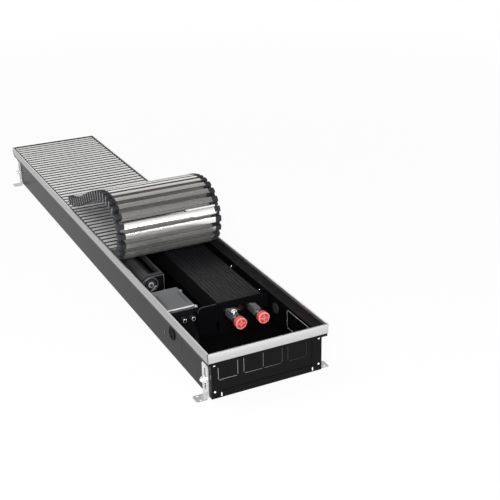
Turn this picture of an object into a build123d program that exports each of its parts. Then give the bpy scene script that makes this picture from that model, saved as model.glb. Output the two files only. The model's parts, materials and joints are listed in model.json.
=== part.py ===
"""Trench convector heater with its roll-up grille partly rolled back.

Units are millimetres. X runs across the trench, Y along it and Z up. The floor under the
feet is Z = 0, and the origin is the middle of the footprint.
"""
import os
from math import atan2, cos, degrees, radians, sin, sqrt, tan

from build123d import *

# ---------------------------------------------------------------- driving dimensions
LENGTH = 1700.0          # over the frame
WIDTH = 300.0            # over the frame
CASING_HEIGHT = 120.0    # frame top to casing bottom
FLOOR_GAP = 9.0          # casing bottom to floor, set by the levelling feet
INSET = 11.0             # casing wall inside the frame's outer edge
SHEET = 1.2              # folded steel sheet

FRAME_HEIGHT = 23.0      # outer face of the frame profile
FRAME_WIDTH = 3.8
FRAME_WALL = 1.2
FRAME_LIP = 8.0          # inner leg of the frame profile
FRAME_INNER_WALL = 0.8
MITRE_GAP = 0.5

SLAT_HEIGHT = 27.0
SLAT_FLANGE = 15.5
SLAT_FLANGE_WALL = 1.6
SLAT_WEB = 2.0
SLAT_COUNT = 70
FLAT_COUNT = 43          # slats that lie flat, from the far end
SLAT_SINK = 2.0          # slat top below the frame top
END_GAP = 5.3            # last slat to frame, each end
SIDE_GAP = 0.7           # slat end to frame, each side
LEDGE_GAP = 0.3          # slat underside to ledge

FOOT_WIDTH = 30.0
FOOT_SHEET = 2.5
FOOT_PAD = 27.0
FOOT_Y = LENGTH / 2 - 39.0
BOLT_RADIUS = 4.0
CLEARANCE = 0.3          # between pieces that move past each other
RUNNING_FIT = 0.1
SIDES = 16               # of a small round piece that nothing has to fit
TUBE_SIDES = 12
BOLT_SIDES = 8

# ---------------------------------------------------------------- worked-out levels
BOTTOM_Z = FLOOR_GAP
TOP_Z = FLOOR_GAP + CASING_HEIGHT
WALL_X = WIDTH / 2 - INSET
WALL_Y = LENGTH / 2 - INSET
SLAT_TOP_Z = TOP_Z - SLAT_SINK
SLAT_BOTTOM_Z = SLAT_TOP_Z - SLAT_HEIGHT
SLAT_MID_Z = (SLAT_TOP_Z + SLAT_BOTTOM_Z) / 2
LEDGE_Z = SLAT_BOTTOM_Z - LEDGE_GAP
LEDGE_UNDER_Z = LEDGE_Z - SHEET
UPSTAND = INSET - 1.6    # how far the ledge reaches out from the wall
UPSTAND_TOP_Z = TOP_Z - FRAME_WALL
INNER_X = WIDTH / 2 - FRAME_WIDTH
INNER_Y = LENGTH / 2 - FRAME_WIDTH
FLOOR_Z = BOTTOM_Z + SHEET
BAY_TOP_Z = SLAT_BOTTOM_Z - 4.0   # nothing inside the tray stands above this
BOLT_Z = BOTTOM_Z + 39.0

SLAT_LENGTH = 2 * (INNER_X - SIDE_GAP)
PITCH = (2 * (INNER_Y - END_GAP) - SLAT_FLANGE) / (SLAT_COUNT - 1)
FAR_SLAT_Y = INNER_Y - END_GAP - SLAT_FLANGE / 2
ROLL_START_Y = FAR_SLAT_Y - (FLAT_COUNT - 1) * PITCH - PITCH / 2

# The tightest turn two slats can make before their inner flanges meet.
FLANGE_CORNER = PITCH / 2 - SLAT_FLANGE / 2
TIGHTEST_TURN = 2 * degrees(atan2(FLANGE_CORNER, SLAT_HEIGHT / 2)) - 3.0


# ---------------------------------------------------------------- small helpers
def block(x0, x1, y0, y1, z0, z1):
    """A box between two corners."""
    size = Box(abs(x1 - x0), abs(y1 - y0), abs(z1 - z0))
    return Pos((x0 + x1) / 2, (y0 + y1) / 2, (z0 + z1) / 2) * size


def face_on(plane, points):
    return make_face(plane * Polyline(*points, close=True))


def bar_x(points, x0, x1):
    """Extrudes a (y, z) outline along X."""
    plane = Plane(origin=(x0, 0, 0), x_dir=(0, 1, 0), z_dir=(1, 0, 0))
    return extrude(face_on(plane, points), x1 - x0, dir=(1, 0, 0))


def bar_y(points, y0, y1):
    """Extrudes an (x, z) outline along Y."""
    plane = Plane(origin=(0, y0, 0), x_dir=(1, 0, 0), z_dir=(0, -1, 0))
    return extrude(face_on(plane, points), y1 - y0, dir=(0, 1, 0))


def bar_z(points, z0, z1):
    """Extrudes an (x, y) outline upwards."""
    return extrude(face_on(Plane.XY.offset(z0), points), z1 - z0, dir=(0, 0, 1))


def rod_x(radius, x0, x1, y, z):
    return Pos((x0 + x1) / 2, y, z) * Rot(0, 90, 0) * Cylinder(radius, abs(x1 - x0))


def rod_y(radius, y0, y1, x, z):
    return Pos(x, (y0 + y1) / 2, z) * Rot(90, 0, 0) * Cylinder(radius, abs(y1 - y0))


def rod_z(radius, z0, z1, x, y):
    return Pos(x, y, (z0 + z1) / 2) * Cylinder(radius, abs(z1 - z0))


def prism_x(sides, radius, x0, x1, y, z):
    """A regular prism along X. Small turned pieces are drawn this way, with many sides."""
    return Pos(x0, y, z) * Rot(0, 90, 0) * extrude(RegularPolygon(radius, sides), x1 - x0)


def prism_y(sides, radius, y0, y1, x, z):
    return Pos(x, y1, z) * Rot(90, 0, 0) * extrude(RegularPolygon(radius, sides), y1 - y0)


def prism_z(sides, radius, z0, z1, x, y):
    return Pos(x, y, z0) * extrude(RegularPolygon(radius, sides), z1 - z0)


def hex_x(across, x0, x1, y, z):
    return prism_x(6, across / sqrt(3), x0, x1, y, z)


def hex_y(across, y0, y1, x, z):
    return prism_y(6, across / sqrt(3), y0, y1, x, z)


def turned(shape):
    """The same piece for the other end, turned half round about Z."""
    return Rot(0, 0, 180) * shape


def mirrored_x(shape):
    return mirror(shape, Plane.YZ)


def mirrored_y(shape):
    return mirror(shape, Plane.XZ)


def both_sides(shape):
    return [shape, mirrored_x(shape)]


def four_corners(shape):
    far_left = mirrored_x(shape)
    return [shape, far_left, mirrored_y(shape), mirrored_y(far_left)]


def save(name, *shapes):
    """Writes one node, as one solid or as a group of them."""
    solids = [s for shape in shapes for s in shape.solids()]
    part = solids[0] if len(solids) == 1 else Compound(children=solids)
    part.label = name
    export_step(part, f"parts/{name}.step")


# ---------------------------------------------------------------- casing
FLANGE_SIDE = 25.0       # turned-in flange beside each end plate
FLANGE_BOTTOM = 16.5     # turned-up flange under each end plate
END_FACE_Y = WALL_Y - SHEET
PLUG_Y = 233.0 - LENGTH / 2
PLUG_Z = BOTTOM_Z + 60.0
PLUG_HOLE = 14.0
SLIT = 1.6               # knock-out cut
BRIDGE = 2.5             # metal left at a knock-out's corners
KNOCKOUT = 48.0
KNOCKOUT_Z = BOTTOM_Z + 44.0        # lower edge, end plates
KNOCKOUT_HEIGHT = LEDGE_UNDER_Z - 4.0 - KNOCKOUT_Z
END_KNOCKOUTS_X = (17.5 - WALL_X, -58.5, -10.5, WALL_X - 87.0)
SIDE_KNOCKOUT_Y = 60.0 - LENGTH / 2
SIDE_KNOCKOUT_Z = BOTTOM_Z + 33.5
SIDE_KNOCKOUT_WIDTH = 114.0
SIDE_KNOCKOUT_HEIGHT = LEDGE_UNDER_Z - 8.0 - SIDE_KNOCKOUT_Z
RIVET_X = WALL_X - 8.0
RIVETS_Z = (BOTTOM_Z + 17.0, LEDGE_UNDER_Z - 6.0)
CLIP_X = WALL_X - 24.0
CLIP_Z = BOTTOM_Z + 8.0
TAB_Y = 282.0 - LENGTH / 2
TAB_Z = BOTTOM_Z + 42.0


def slit_frame(width, height):
    """Four cuts round a knock-out, (along, up) from its lower corner, with bridges left."""
    half = SLIT / 2
    return [
        (BRIDGE, width - BRIDGE, -half, half),
        (BRIDGE, width - BRIDGE, height - half, height + half),
        (-half, half, BRIDGE, height - BRIDGE),
        (width - half, width + half, BRIDGE, height - BRIDGE),
    ]


def trough_floor():
    """Bottom sheet with the low flanges turned up at its ends."""
    sheet = block(-WALL_X, WALL_X, -WALL_Y, WALL_Y, BOTTOM_Z, FLOOR_Z)
    flange = block(-WALL_X, WALL_X, END_FACE_Y, WALL_Y, FLOOR_Z, BOTTOM_Z + FLANGE_BOTTOM)
    return [sheet, flange, mirrored_y(flange)]


def wall_panel():
    """Right-hand wall with the holes for its plug and feet and the cuts of its knock-out."""
    wall = block(WALL_X - SHEET, WALL_X, -END_FACE_Y, END_FACE_Y, FLOOR_Z, LEDGE_UNDER_Z)
    wall -= rod_x(PLUG_HOLE, -WIDTH, WIDTH, PLUG_Y, PLUG_Z)
    for y in (-FOOT_Y, FOOT_Y):
        wall -= prism_x(BOLT_SIDES, BOLT_RADIUS, -WIDTH, WIDTH, y, BOLT_Z)
    for a0, a1, b0, b1 in slit_frame(SIDE_KNOCKOUT_WIDTH, SIDE_KNOCKOUT_HEIGHT):
        y = SIDE_KNOCKOUT_Y
        z = SIDE_KNOCKOUT_Z
        wall -= block(0, WIDTH, y + a0, y + a1, z + b0, z + b1)
    return wall


def trough_walls():
    """Both long walls, each with a flange turned in at its ends."""
    low = BOTTOM_Z + FLANGE_BOTTOM
    flange = block(WALL_X - FLANGE_SIDE, WALL_X, END_FACE_Y, WALL_Y, low, LEDGE_UNDER_Z)
    wall = wall_panel()
    return [wall, mirrored_x(wall), *four_corners(flange)]


def trough_ledges():
    """Both long ledges under the slats, with the upstands that carry the frame."""
    out = WALL_X + UPSTAND
    ledge_end = END_FACE_Y - SHEET
    rim_end = WALL_Y + UPSTAND
    ledge = block(WALL_X - SHEET, out - SHEET, -ledge_end, ledge_end, LEDGE_UNDER_Z, LEDGE_Z)
    upstand = block(out - SHEET, out, -rim_end, rim_end, LEDGE_UNDER_Z, UPSTAND_TOP_Z)
    return [*both_sides(ledge), *both_sides(upstand)]


def end_plate():
    """The plate that closes the front end, with the ledge and upstand that carry the frame."""
    inner = WALL_X - SHEET
    span = WALL_X + UPSTAND - SHEET
    y_in = END_FACE_Y - SHEET
    y_out = WALL_Y + UPSTAND
    plate = block(-inner, inner, -END_FACE_Y, -y_in, FLOOR_Z, LEDGE_Z)
    plate += block(-span, span, -y_out, -y_in, LEDGE_UNDER_Z, LEDGE_Z)
    plate += block(-span, span, -y_out, SHEET - y_out, LEDGE_UNDER_Z, UPSTAND_TOP_Z)
    for x in END_KNOCKOUTS_X:
        for a0, a1, b0, b1 in slit_frame(KNOCKOUT, KNOCKOUT_HEIGHT):
            plate -= block(x + a0, x + a1, -WALL_Y, -y_in + 1, KNOCKOUT_Z + b0, KNOCKOUT_Z + b1)
    return plate


def rivet(x, z):
    return prism_y(8, 2.6, -WALL_Y - 1.2, -WALL_Y, x, z)


def wall_tab():
    """End of a locking tab that comes out through the right-hand wall beside its plug."""
    return block(WALL_X, WALL_X + 0.8, TAB_Y - 1.3, TAB_Y + 1.3, TAB_Z - 4.5, TAB_Z + 4.5)


def end_fixings():
    """Rivets and spot-welded clips on the front flanges."""
    pieces = [rivet(side * RIVET_X, z) for side in (-1, 1) for z in RIVETS_Z]
    for side in (-1, 1):
        x = side * CLIP_X
        pieces.append(block(x - 1.5, x + 1.5, -WALL_Y - 1.0, -WALL_Y, CLIP_Z - 4.5, CLIP_Z + 4.5))
    return pieces


def frame_profile():
    """(inwards, up) outline of the frame: outer leg, top and short inner leg."""
    low = TOP_Z - FRAME_HEIGHT
    top = TOP_Z
    return [
        (0, low), (0, top), (FRAME_WIDTH, top), (FRAME_WIDTH, top - FRAME_LIP),
        (FRAME_WIDTH - FRAME_INNER_WALL, top - FRAME_LIP),
        (FRAME_WIDTH - FRAME_INNER_WALL, top - FRAME_WALL),
        (FRAME_WALL, top - FRAME_WALL), (FRAME_WALL, low),
    ]


def mitred(bar, half_long, reach):
    """Cuts a frame bar's ends at 45 degrees. Its outer edge lies at X = reach."""
    depth = 2 * FRAME_WIDTH
    end = half_long - MITRE_GAP / 2
    plan = [(reach, -end), (reach, end), (reach - depth, end - depth), (reach - depth, depth - end)]
    return bar & bar_z(plan, TOP_Z - FRAME_HEIGHT - 1, TOP_Z + 1)


def frame_bar(half_long, reach):
    outline = [(reach - a, z) for a, z in frame_profile()]
    return mitred(bar_y(outline, -half_long, half_long), half_long, reach)


def blanking_plug():
    """Snap-in plug for the right-hand wall: a flange with a dished middle, and its neck."""
    flange = prism_x(SIDES, PLUG_HOLE + 3.0, WALL_X, WALL_X + 2.2, PLUG_Y, PLUG_Z)
    flange -= prism_x(SIDES, PLUG_HOLE - 3.0, WALL_X + 0.8, WALL_X + 3, PLUG_Y, PLUG_Z)
    return flange + rod_x(PLUG_HOLE, WALL_X - SHEET - 1.5, WALL_X, PLUG_Y, PLUG_Z)


# ---------------------------------------------------------------- levelling feet
FOOT_X = WALL_X + 0.4
FOOT_HEIGHT = LEDGE_UNDER_Z - 10.5
SLOT_HALF = BOLT_RADIUS + CLEARANCE
SLOT_LOW_Z = BOLT_Z - 27.0
SLOT_HIGH_Z = FOOT_HEIGHT - 11.0
PAD_HOLE = 3.3
PAD_HOLE_STEP = 18.0
WASHER = 1.6
WASHER_RADIUS = 9.0
NUT = 6.5
NUT_ACROSS = 13.0


def slot_outline():
    """(y, z) outline of the levelling slot, with corners cut for the bolt to seat in."""
    cut = SLOT_HALF * (1 - tan(radians(22.5)))
    near = FOOT_Y - SLOT_HALF
    far = FOOT_Y + SLOT_HALF
    return [
        (near, SLOT_LOW_Z + cut), (near + cut, SLOT_LOW_Z), (far - cut, SLOT_LOW_Z),
        (far, SLOT_LOW_Z + cut), (far, SLOT_HIGH_Z - cut), (far - cut, SLOT_HIGH_Z),
        (near + cut, SLOT_HIGH_Z), (near, SLOT_HIGH_Z - cut),
    ]


def foot():
    """Slotted angle on the right-hand wall at the far end."""
    outer = FOOT_X + FOOT_SHEET
    edge = outer + FOOT_PAD
    bend = FOOT_SHEET
    outline = [
        (FOOT_X, FOOT_HEIGHT), (FOOT_X, bend), (FOOT_X + bend, 0), (edge, 0),
        (edge, FOOT_SHEET), (outer + 1.0, FOOT_SHEET), (outer, FOOT_SHEET + 1.0),
        (outer, FOOT_HEIGHT),
    ]
    y0 = FOOT_Y - FOOT_WIDTH / 2
    y1 = FOOT_Y + FOOT_WIDTH / 2
    angle = bar_y(outline, y0, y1)
    angle -= bar_x(slot_outline(), FOOT_X - 1, outer + 1)
    for step in (-PAD_HOLE_STEP / 2, PAD_HOLE_STEP / 2):
        angle -= rod_z(PAD_HOLE, -1, FOOT_SHEET + 1, outer + 0.6 * FOOT_PAD, FOOT_Y + step)
    cut = 6.0
    for y, way in ((y0, 1), (y1, -1)):
        corner = [(y, FOOT_HEIGHT - cut), (y + way * cut, FOOT_HEIGHT), (y, FOOT_HEIGHT)]
        angle -= bar_x(corner, FOOT_X - 1, outer + 1)
    return angle


def foot_fastener():
    """Bolt through the wall and the foot's slot, with its washer and nut run on."""
    inner = WALL_X - SHEET
    washer = FOOT_X + FOOT_SHEET + CLEARANCE
    nut = washer + WASHER
    fastener = hex_x(NUT_ACROSS, inner - 5.3, inner, FOOT_Y, BOLT_Z)
    fastener += prism_x(BOLT_SIDES, BOLT_RADIUS, inner, nut + NUT + 3.0, FOOT_Y, BOLT_Z)
    fastener += prism_x(SIDES, WASHER_RADIUS, washer, nut, FOOT_Y, BOLT_Z)
    return fastener + hex_x(NUT_ACROSS, nut, nut + NUT, FOOT_Y, BOLT_Z)


# ---------------------------------------------------------------- heat exchanger
COIL_X1 = WALL_X - SHEET - 12.8
COIL_X0 = COIL_X1 - 120.0
COIL_Y0 = 280.0 - LENGTH / 2
COIL_Y1 = LENGTH / 2 - 80.0
COIL_Z0 = FLOOR_Z + 27.8
COIL_Z1 = BAY_TOP_Z - 3.0
RIDGES = 12
RIDGE_DEPTH = 3.0
TUBE_RADIUS = 6.0
TUBE_Z = COIL_Z1 - 21.0
TUBES = 4
UNIONS_X = (COIL_X0 + 16.0, COIL_X0 + 77.0)
UNION_Y = COIL_Y0 - 18.0
UNION_Z = TUBE_Z + 4.0
HEX_ACROSS = 24.0
HEX_Y = UNION_Y - 46.0
SPIGOT_RADIUS = 10.0
CAP_RADIUS = 15.0
CAP_Y0 = HEX_Y - 30.0
CAP_Y1 = CAP_Y0 + 14.0
COIL_PLATE = 1.5
CLIPS_Y = (COIL_Y0 + 30.0, COIL_Y0 + 195.0, 0.0, COIL_Y1 - 395.0, COIL_Y1 - 30.0)


def fin_pack():
    """Pressed fins as one pack, corrugated along the top and lightly ribbed on the sides."""
    step = (COIL_X1 - COIL_X0) / RIDGES
    top = []
    for i in range(RIDGES):
        x = COIL_X0 + i * step
        top += [(x, COIL_Z1 - RIDGE_DEPTH), (x + 0.35 * step, COIL_Z1), (x + 0.65 * step, COIL_Z1)]
    top.append((COIL_X1, COIL_Z1 - RIDGE_DEPTH))
    outline = top + [(COIL_X1, COIL_Z0), (COIL_X0, COIL_Z0)]
    pack = bar_y(outline, COIL_Y0, COIL_Y1)
    for x in tube_places():
        pack -= prism_y(TUBE_SIDES, TUBE_RADIUS, COIL_Y0 - 1, COIL_Y1 + 1, x, TUBE_Z)
    return pack


def tube_places():
    gap = (UNIONS_X[1] - UNIONS_X[0]) / (TUBES - 1)
    return [UNIONS_X[0] + i * gap for i in range(TUBES)]


def bend(x0, x1, y, way):
    """A half-round return bend between two tubes, on the side of y that way points to."""
    middle = (x0 + x1) / 2
    reach = (x1 - x0) / 2
    low = TUBE_Z - TUBE_RADIUS
    ring = rod_z(reach + TUBE_RADIUS, low, TUBE_Z + TUBE_RADIUS, middle, y)
    ring -= rod_z(reach - TUBE_RADIUS, low - 1, TUBE_Z + TUBE_RADIUS + 1, middle, y)
    ring &= block(x0 - 2 * reach, x1 + 2 * reach, y, y + way * 3 * reach, low - 1, low + 40)
    return ring


def water_tubes():
    places = tube_places()
    near = COIL_Y0 - COIL_PLATE - 4
    far = COIL_Y1 + COIL_PLATE + 4
    ends = (UNION_Y, near, near, UNION_Y)
    run = [prism_y(TUBE_SIDES, TUBE_RADIUS, y, far, x, TUBE_Z) for x, y in zip(places, ends)]
    tubes = run[0] + bend(places[0], places[1], far, 1) + run[1]
    tubes += bend(places[1], places[2], near, -1) + run[2]
    tubes += bend(places[2], places[3], far, 1) + run[3]
    return tubes


def coil_end_plate(y):
    """Pressed end plate that stands on the tray and holds the tubes."""
    plate = block(COIL_X0 - 1.5, COIL_X1 + 4, y, y + COIL_PLATE, FLOOR_Z, COIL_Z1 + 1.5)
    for x in tube_places():
        plate -= prism_y(TUBE_SIDES, TUBE_RADIUS, y - 1, y + 3, x, TUBE_Z)
    return plate


def coil_foot(y, way):
    """Turned-out flanges of an end plate: one on the tray floor, one on the side wall."""
    low = block(COIL_X0 + 10, COIL_X1 - 10, y, y + way * 14, FLOOR_Z, FLOOR_Z + COIL_PLATE)
    wall = block(COIL_X1 + 4, WALL_X - SHEET, y, y + way * COIL_PLATE, COIL_Z1 - 40, COIL_Z1 - 2)
    return low + wall


def coil_plates():
    front = COIL_Y0 - COIL_PLATE
    first = coil_end_plate(front) + coil_foot(front + COIL_PLATE, -1)
    second = coil_end_plate(COIL_Y1) + coil_foot(COIL_Y1, 1)
    return [first, second]


def coil_clip(y):
    """Bracket between the pack's long side and the wall, with room for a screw."""
    x0 = COIL_X1
    x1 = WALL_X - SHEET
    outline = [
        (x0, COIL_Z1 - 24), (x0 + COIL_PLATE, COIL_Z1 - 24), (x0 + COIL_PLATE, COIL_Z1 - 8),
        (x1, COIL_Z1 - 8), (x1, COIL_Z1 - 8 + COIL_PLATE), (x0, COIL_Z1 - 8 + COIL_PLATE),
    ]
    return bar_y(outline, y - 8, y + 8)


def clip_screw(y):
    z = COIL_Z1 - 8 + COIL_PLATE
    return prism_z(6, 3.4, z, z + 2.4, (COIL_X1 + WALL_X) / 2, y)


def union(x):
    """Valve union on a tube end: neck, hexagon, collar and a bored spigot for the house pipe."""
    z = UNION_Z
    body = prism_y(SIDES, 9.0, UNION_Y - 10, UNION_Y, x, z)
    body += hex_y(HEX_ACROSS, HEX_Y, UNION_Y - 10, x, z)
    body += prism_y(SIDES, 12.5, HEX_Y - 8, HEX_Y, x, z)
    body += prism_y(SIDES, SPIGOT_RADIUS, CAP_Y0 + 5, HEX_Y - 8, x, z)
    return body - prism_y(SIDES, 6.0, CAP_Y0 + 4, UNION_Y - 30, x, z)


def union_cap(x):
    """Protective cap: a cup over the spigot, with a cross in its sunk face."""
    z = UNION_Z
    cup = prism_y(SIDES, CAP_RADIUS, CAP_Y0, CAP_Y1, x, z)
    cup -= prism_y(SIDES, SPIGOT_RADIUS + CLEARANCE, CAP_Y0 + 4.5, CAP_Y1 + 1, x, z)
    recess = prism_y(SIDES, CAP_RADIUS - 4.5, CAP_Y0 - 1, CAP_Y0 + 3.0, x, z)
    cross = block(x - 1.2, x + 1.2, CAP_Y0 - 1, CAP_Y0 + 3.0, z - CAP_RADIUS, z + CAP_RADIUS)
    cross += block(x - CAP_RADIUS, x + CAP_RADIUS, CAP_Y0 - 1, CAP_Y0 + 3.0, z - 1.2, z + 1.2)
    return cup - (recess - cross)


VENT_X = UNIONS_X[0]
VENT_Y = HEX_Y + 12
VENT_Z = UNION_Z + HEX_ACROSS / 2


def vent_body():
    """Bleed valve on the hexagon's top flat: a collar with a bored boss."""
    body = prism_z(TUBE_SIDES, 8.0, VENT_Z, VENT_Z + 3.5, VENT_X, VENT_Y)
    body += prism_z(TUBE_SIDES, 5.4, VENT_Z + 3.5, VENT_Z + 6.4, VENT_X, VENT_Y)
    return body - rod_z(3.0 + RUNNING_FIT, VENT_Z + 3.0, VENT_Z + 8, VENT_X, VENT_Y)


def vent_screw():
    screw = rod_z(3.0, VENT_Z + 3.0 + CLEARANCE, VENT_Z + 6.8, VENT_X, VENT_Y)
    slot = block(VENT_X - 4, VENT_X + 4, VENT_Y - 0.5, VENT_Y + 0.5, VENT_Z + 5.4, VENT_Z + 8)
    return screw - slot


# ---------------------------------------------------------------- tangential fan
FAN_X0 = 25.0 - WALL_X
FAN_X1 = FAN_X0 + 62.0
FAN_Y0 = 505.0 - LENGTH / 2
FAN_Y1 = LENGTH / 2 - 290.0
FAN_TOP_Z = BAY_TOP_Z
FAN_LOW_Z = FLOOR_Z + 11.8
FAN_AXIS_X = FAN_X0 + 27.0
FAN_AXIS_Z = FAN_TOP_Z - 25.0
FAN_ROUND = 24.0
FAN_SHEET = 1.5
ROTOR_RADIUS = 21.0
ROTOR_BLADES = 12
BLADE_ROOT = 14.0
SHAFT_RADIUS = 4.0
BEARING_RADIUS = 14.0
MOTOR_Y0 = FAN_Y1 - 90.0
ROTOR_Y0 = FAN_Y0 + 8.0
ROTOR_Y1 = MOTOR_Y0 - 12.0
OUTLET_LOW = 10.0        # outlet slot, above the housing's lower edge
OUTLET_HIGH = 20.0       # outlet slot, below its top


def fan_outline(inset):
    """(x, z) outline of the housing, a scroll that is round on its left and open to the right."""
    x0 = FAN_X0 + inset
    x1 = FAN_X1 - inset
    top = FAN_TOP_Z - inset
    low = FAN_LOW_Z + inset
    r = FAN_ROUND - inset
    steps = 5
    arc_top = [
        (x0 + r - r * sin(radians(90 - 90 * i / steps)), top - r + r * cos(radians(90 - 90 * i / steps)))
        for i in range(steps + 1)
    ]
    arc_low = [
        (x0 + r - r * cos(radians(90 * i / steps)), low + r - r * sin(radians(90 * i / steps)))
        for i in range(steps + 1)
    ]
    return [(x1, low), (x1, top)] + arc_top[::-1] + arc_low


def fan_housing():
    """Sheet scroll: intake slot in the top, outlet slot towards the fins."""
    shell = bar_y(fan_outline(0), FAN_Y0 + FAN_SHEET, FAN_Y1 - FAN_SHEET)
    shell -= bar_y(fan_outline(FAN_SHEET), FAN_Y0 - 1, FAN_Y1 + 1)
    y0 = FAN_Y0 + 14
    y1 = FAN_Y1 - 14
    shell -= block(FAN_X0 + FAN_ROUND + 3, FAN_X1 - 5, y0, y1, FAN_TOP_Z - 3, FAN_TOP_Z + 1)
    low = FAN_LOW_Z + OUTLET_LOW
    shell -= block(FAN_X1 - 3, FAN_X1 + 1, y0, y1, low, FAN_TOP_Z - OUTLET_HIGH)
    return shell


def fan_end(y, way):
    """End plate with a turned flange round its edge, a foot and a bearing seat."""
    face = bar_y(fan_outline(0), y, y + FAN_SHEET)
    face -= prism_y(SIDES, BEARING_RADIUS, y - 1, y + 3, FAN_AXIS_X, FAN_AXIS_Z)
    flange = 6.0
    y0 = y - flange if way < 0 else y + FAN_SHEET
    y1 = y0 + flange
    rim = bar_y(fan_outline(0), y0, y1) - bar_y(fan_outline(FAN_SHEET), y0 - 1, y1 + 1)
    leg = block(FAN_X0 + 26, FAN_X1, y0, y1, FLOOR_Z, FAN_LOW_Z)
    return face + rim + leg


def fan_bearing():
    """Rubber-cushioned bearing in the front end plate, with the shaft's running fit."""
    y = FAN_Y0
    seat = prism_y(SIDES, BEARING_RADIUS, y, y + FAN_SHEET, FAN_AXIS_X, FAN_AXIS_Z)
    seat += prism_y(SIDES, 8.0, y - 2.5, y, FAN_AXIS_X, FAN_AXIS_Z)
    return seat - rod_y(SHAFT_RADIUS + RUNNING_FIT, y - 4, y + 3, FAN_AXIS_X, FAN_AXIS_Z)


def rotor_blade(angle):
    """One long forward-leaning blade of the cross-flow rotor."""
    points = []
    for radius, lead in ((ROTOR_RADIUS, 16), (BLADE_ROOT, 0), (BLADE_ROOT, 4), (ROTOR_RADIUS, 19)):
        a = radians(angle + lead)
        points.append((FAN_AXIS_X + radius * cos(a), FAN_AXIS_Z + radius * sin(a)))
    return bar_y(points, ROTOR_Y0 + 2, ROTOR_Y1 - 2)


def fan_rotor():
    """Cross-flow rotor: blades between two end discs on a shaft."""
    rotor = rod_y(SHAFT_RADIUS, FAN_Y0 - 6, MOTOR_Y0 + 6, FAN_AXIS_X, FAN_AXIS_Z)
    for y in (ROTOR_Y0, ROTOR_Y1 - 2):
        rotor += prism_y(SIDES, ROTOR_RADIUS + 0.5, y, y + 2, FAN_AXIS_X, FAN_AXIS_Z)
    for i in range(ROTOR_BLADES):
        rotor += rotor_blade(360 * i / ROTOR_BLADES)
    return rotor


def fan_motor():
    """Canned motor at the far end, seated in the end plate."""
    y0 = MOTOR_Y0
    body = prism_y(SIDES, ROTOR_RADIUS + 1, y0, FAN_Y1 - 8, FAN_AXIS_X, FAN_AXIS_Z)
    body += prism_y(SIDES, BEARING_RADIUS, FAN_Y1 - 8, FAN_Y1, FAN_AXIS_X, FAN_AXIS_Z)
    return body - rod_y(SHAFT_RADIUS + RUNNING_FIT, y0 - 1, y0 + 8, FAN_AXIS_X, FAN_AXIS_Z)


# ---------------------------------------------------------------- junction box
BOX_X0 = 9.0 - WALL_X
BOX_X1 = BOX_X0 + 77.0
BOX_Y0 = 298.0 - LENGTH / 2
BOX_Y1 = BOX_Y0 + 113.0
BOX_WALL = 2.0
LID_OVERLAP = 9.0
LID_WALL = 1.5
LID_TOP_Z = BAY_TOP_Z
GLANDS_X = (BOX_X1 - 32.0, BOX_X1 - 8.5)
GLAND_Z = LID_TOP_Z - 31.0
GLAND_RADIUS = 5.5
CABLE_RADIUS = 3.6
EAR = 9.0
SCREW_HOLE = 2.2


def cut_block(x0, x1, y0, y1, z0, z1, cut):
    """A box with its upright edges cut off, as a small moulding's corners."""
    plate = block(x0, x1, y0, y1, z0, z1)
    return chamfer(plate.edges().filter_by(Axis.Z), cut)


def ear_places():
    return ((BOX_X1 + CLEARANCE + LID_WALL, BOX_Y0 + 7), (BOX_X1 + CLEARANCE + LID_WALL, BOX_Y1 - 7))


def junction_box():
    top = LID_TOP_Z - LID_WALL - CLEARANCE
    shell = cut_block(BOX_X0, BOX_X1, BOX_Y0, BOX_Y1, FLOOR_Z, top, 3)
    shell -= cut_block(
        BOX_X0 + BOX_WALL, BOX_X1 - BOX_WALL, BOX_Y0 + BOX_WALL, BOX_Y1 - BOX_WALL,
        FLOOR_Z + BOX_WALL, top + 1, 2.2)
    for x in GLANDS_X:
        shell -= prism_y(TUBE_SIDES, GLAND_RADIUS, BOX_Y0 - 1, BOX_Y0 + 4, x, GLAND_Z)
    for x, y in ear_places():
        lug = block(BOX_X1, x + EAR, y - 5, y + 5, LID_TOP_Z - 22, LID_TOP_Z - LID_OVERLAP - 2)
        shell += lug - prism_z(BOLT_SIDES, SCREW_HOLE, LID_TOP_Z - 30, LID_TOP_Z, x + EAR / 2, y)
    return shell


def box_lid():
    grow = CLEARANCE + LID_WALL
    low = LID_TOP_Z - LID_OVERLAP
    lid = cut_block(BOX_X0 - grow, BOX_X1 + grow, BOX_Y0 - grow, BOX_Y1 + grow, low, LID_TOP_Z, 4)
    lid = chamfer(lid.faces().sort_by(Axis.Z)[-1].edges(), 1.2)
    lid -= cut_block(
        BOX_X0 - CLEARANCE, BOX_X1 + CLEARANCE, BOX_Y0 - CLEARANCE, BOX_Y1 + CLEARANCE,
        low - 1, LID_TOP_Z - LID_WALL, 3.1)
    for x in (BOX_X0 + 13, BOX_X1 - 9):
        lid -= block(x - 1.2, x + 1.2, BOX_Y0 + 18, BOX_Y1 - 25, LID_TOP_Z - 0.8, LID_TOP_Z + 1)
    for x, y in ear_places():
        ear = block(x - 1, x + EAR, y - 5, y + 5, low - 1.7, low + 0.3)
        lid += ear - prism_z(BOLT_SIDES, SCREW_HOLE, low - 5, low + 5, x + EAR / 2, y)
    return lid


def lid_screws():
    low = LID_TOP_Z - LID_OVERLAP
    pieces = []
    for x, y in ear_places():
        place = Pos(x + EAR / 2, y, 0)
        screw = place * Pos(0, 0, low + 0.3) * extrude(RegularPolygon(3.6, 8), 2.3)
        screw += place * Pos(0, 0, low - 10) * extrude(RegularPolygon(SCREW_HOLE - 0.5, 6), 10.3)
        pieces.append(screw - block(x, x + EAR, y - 0.5, y + 0.5, low + 1.6, low + 3))
    return pieces


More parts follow.
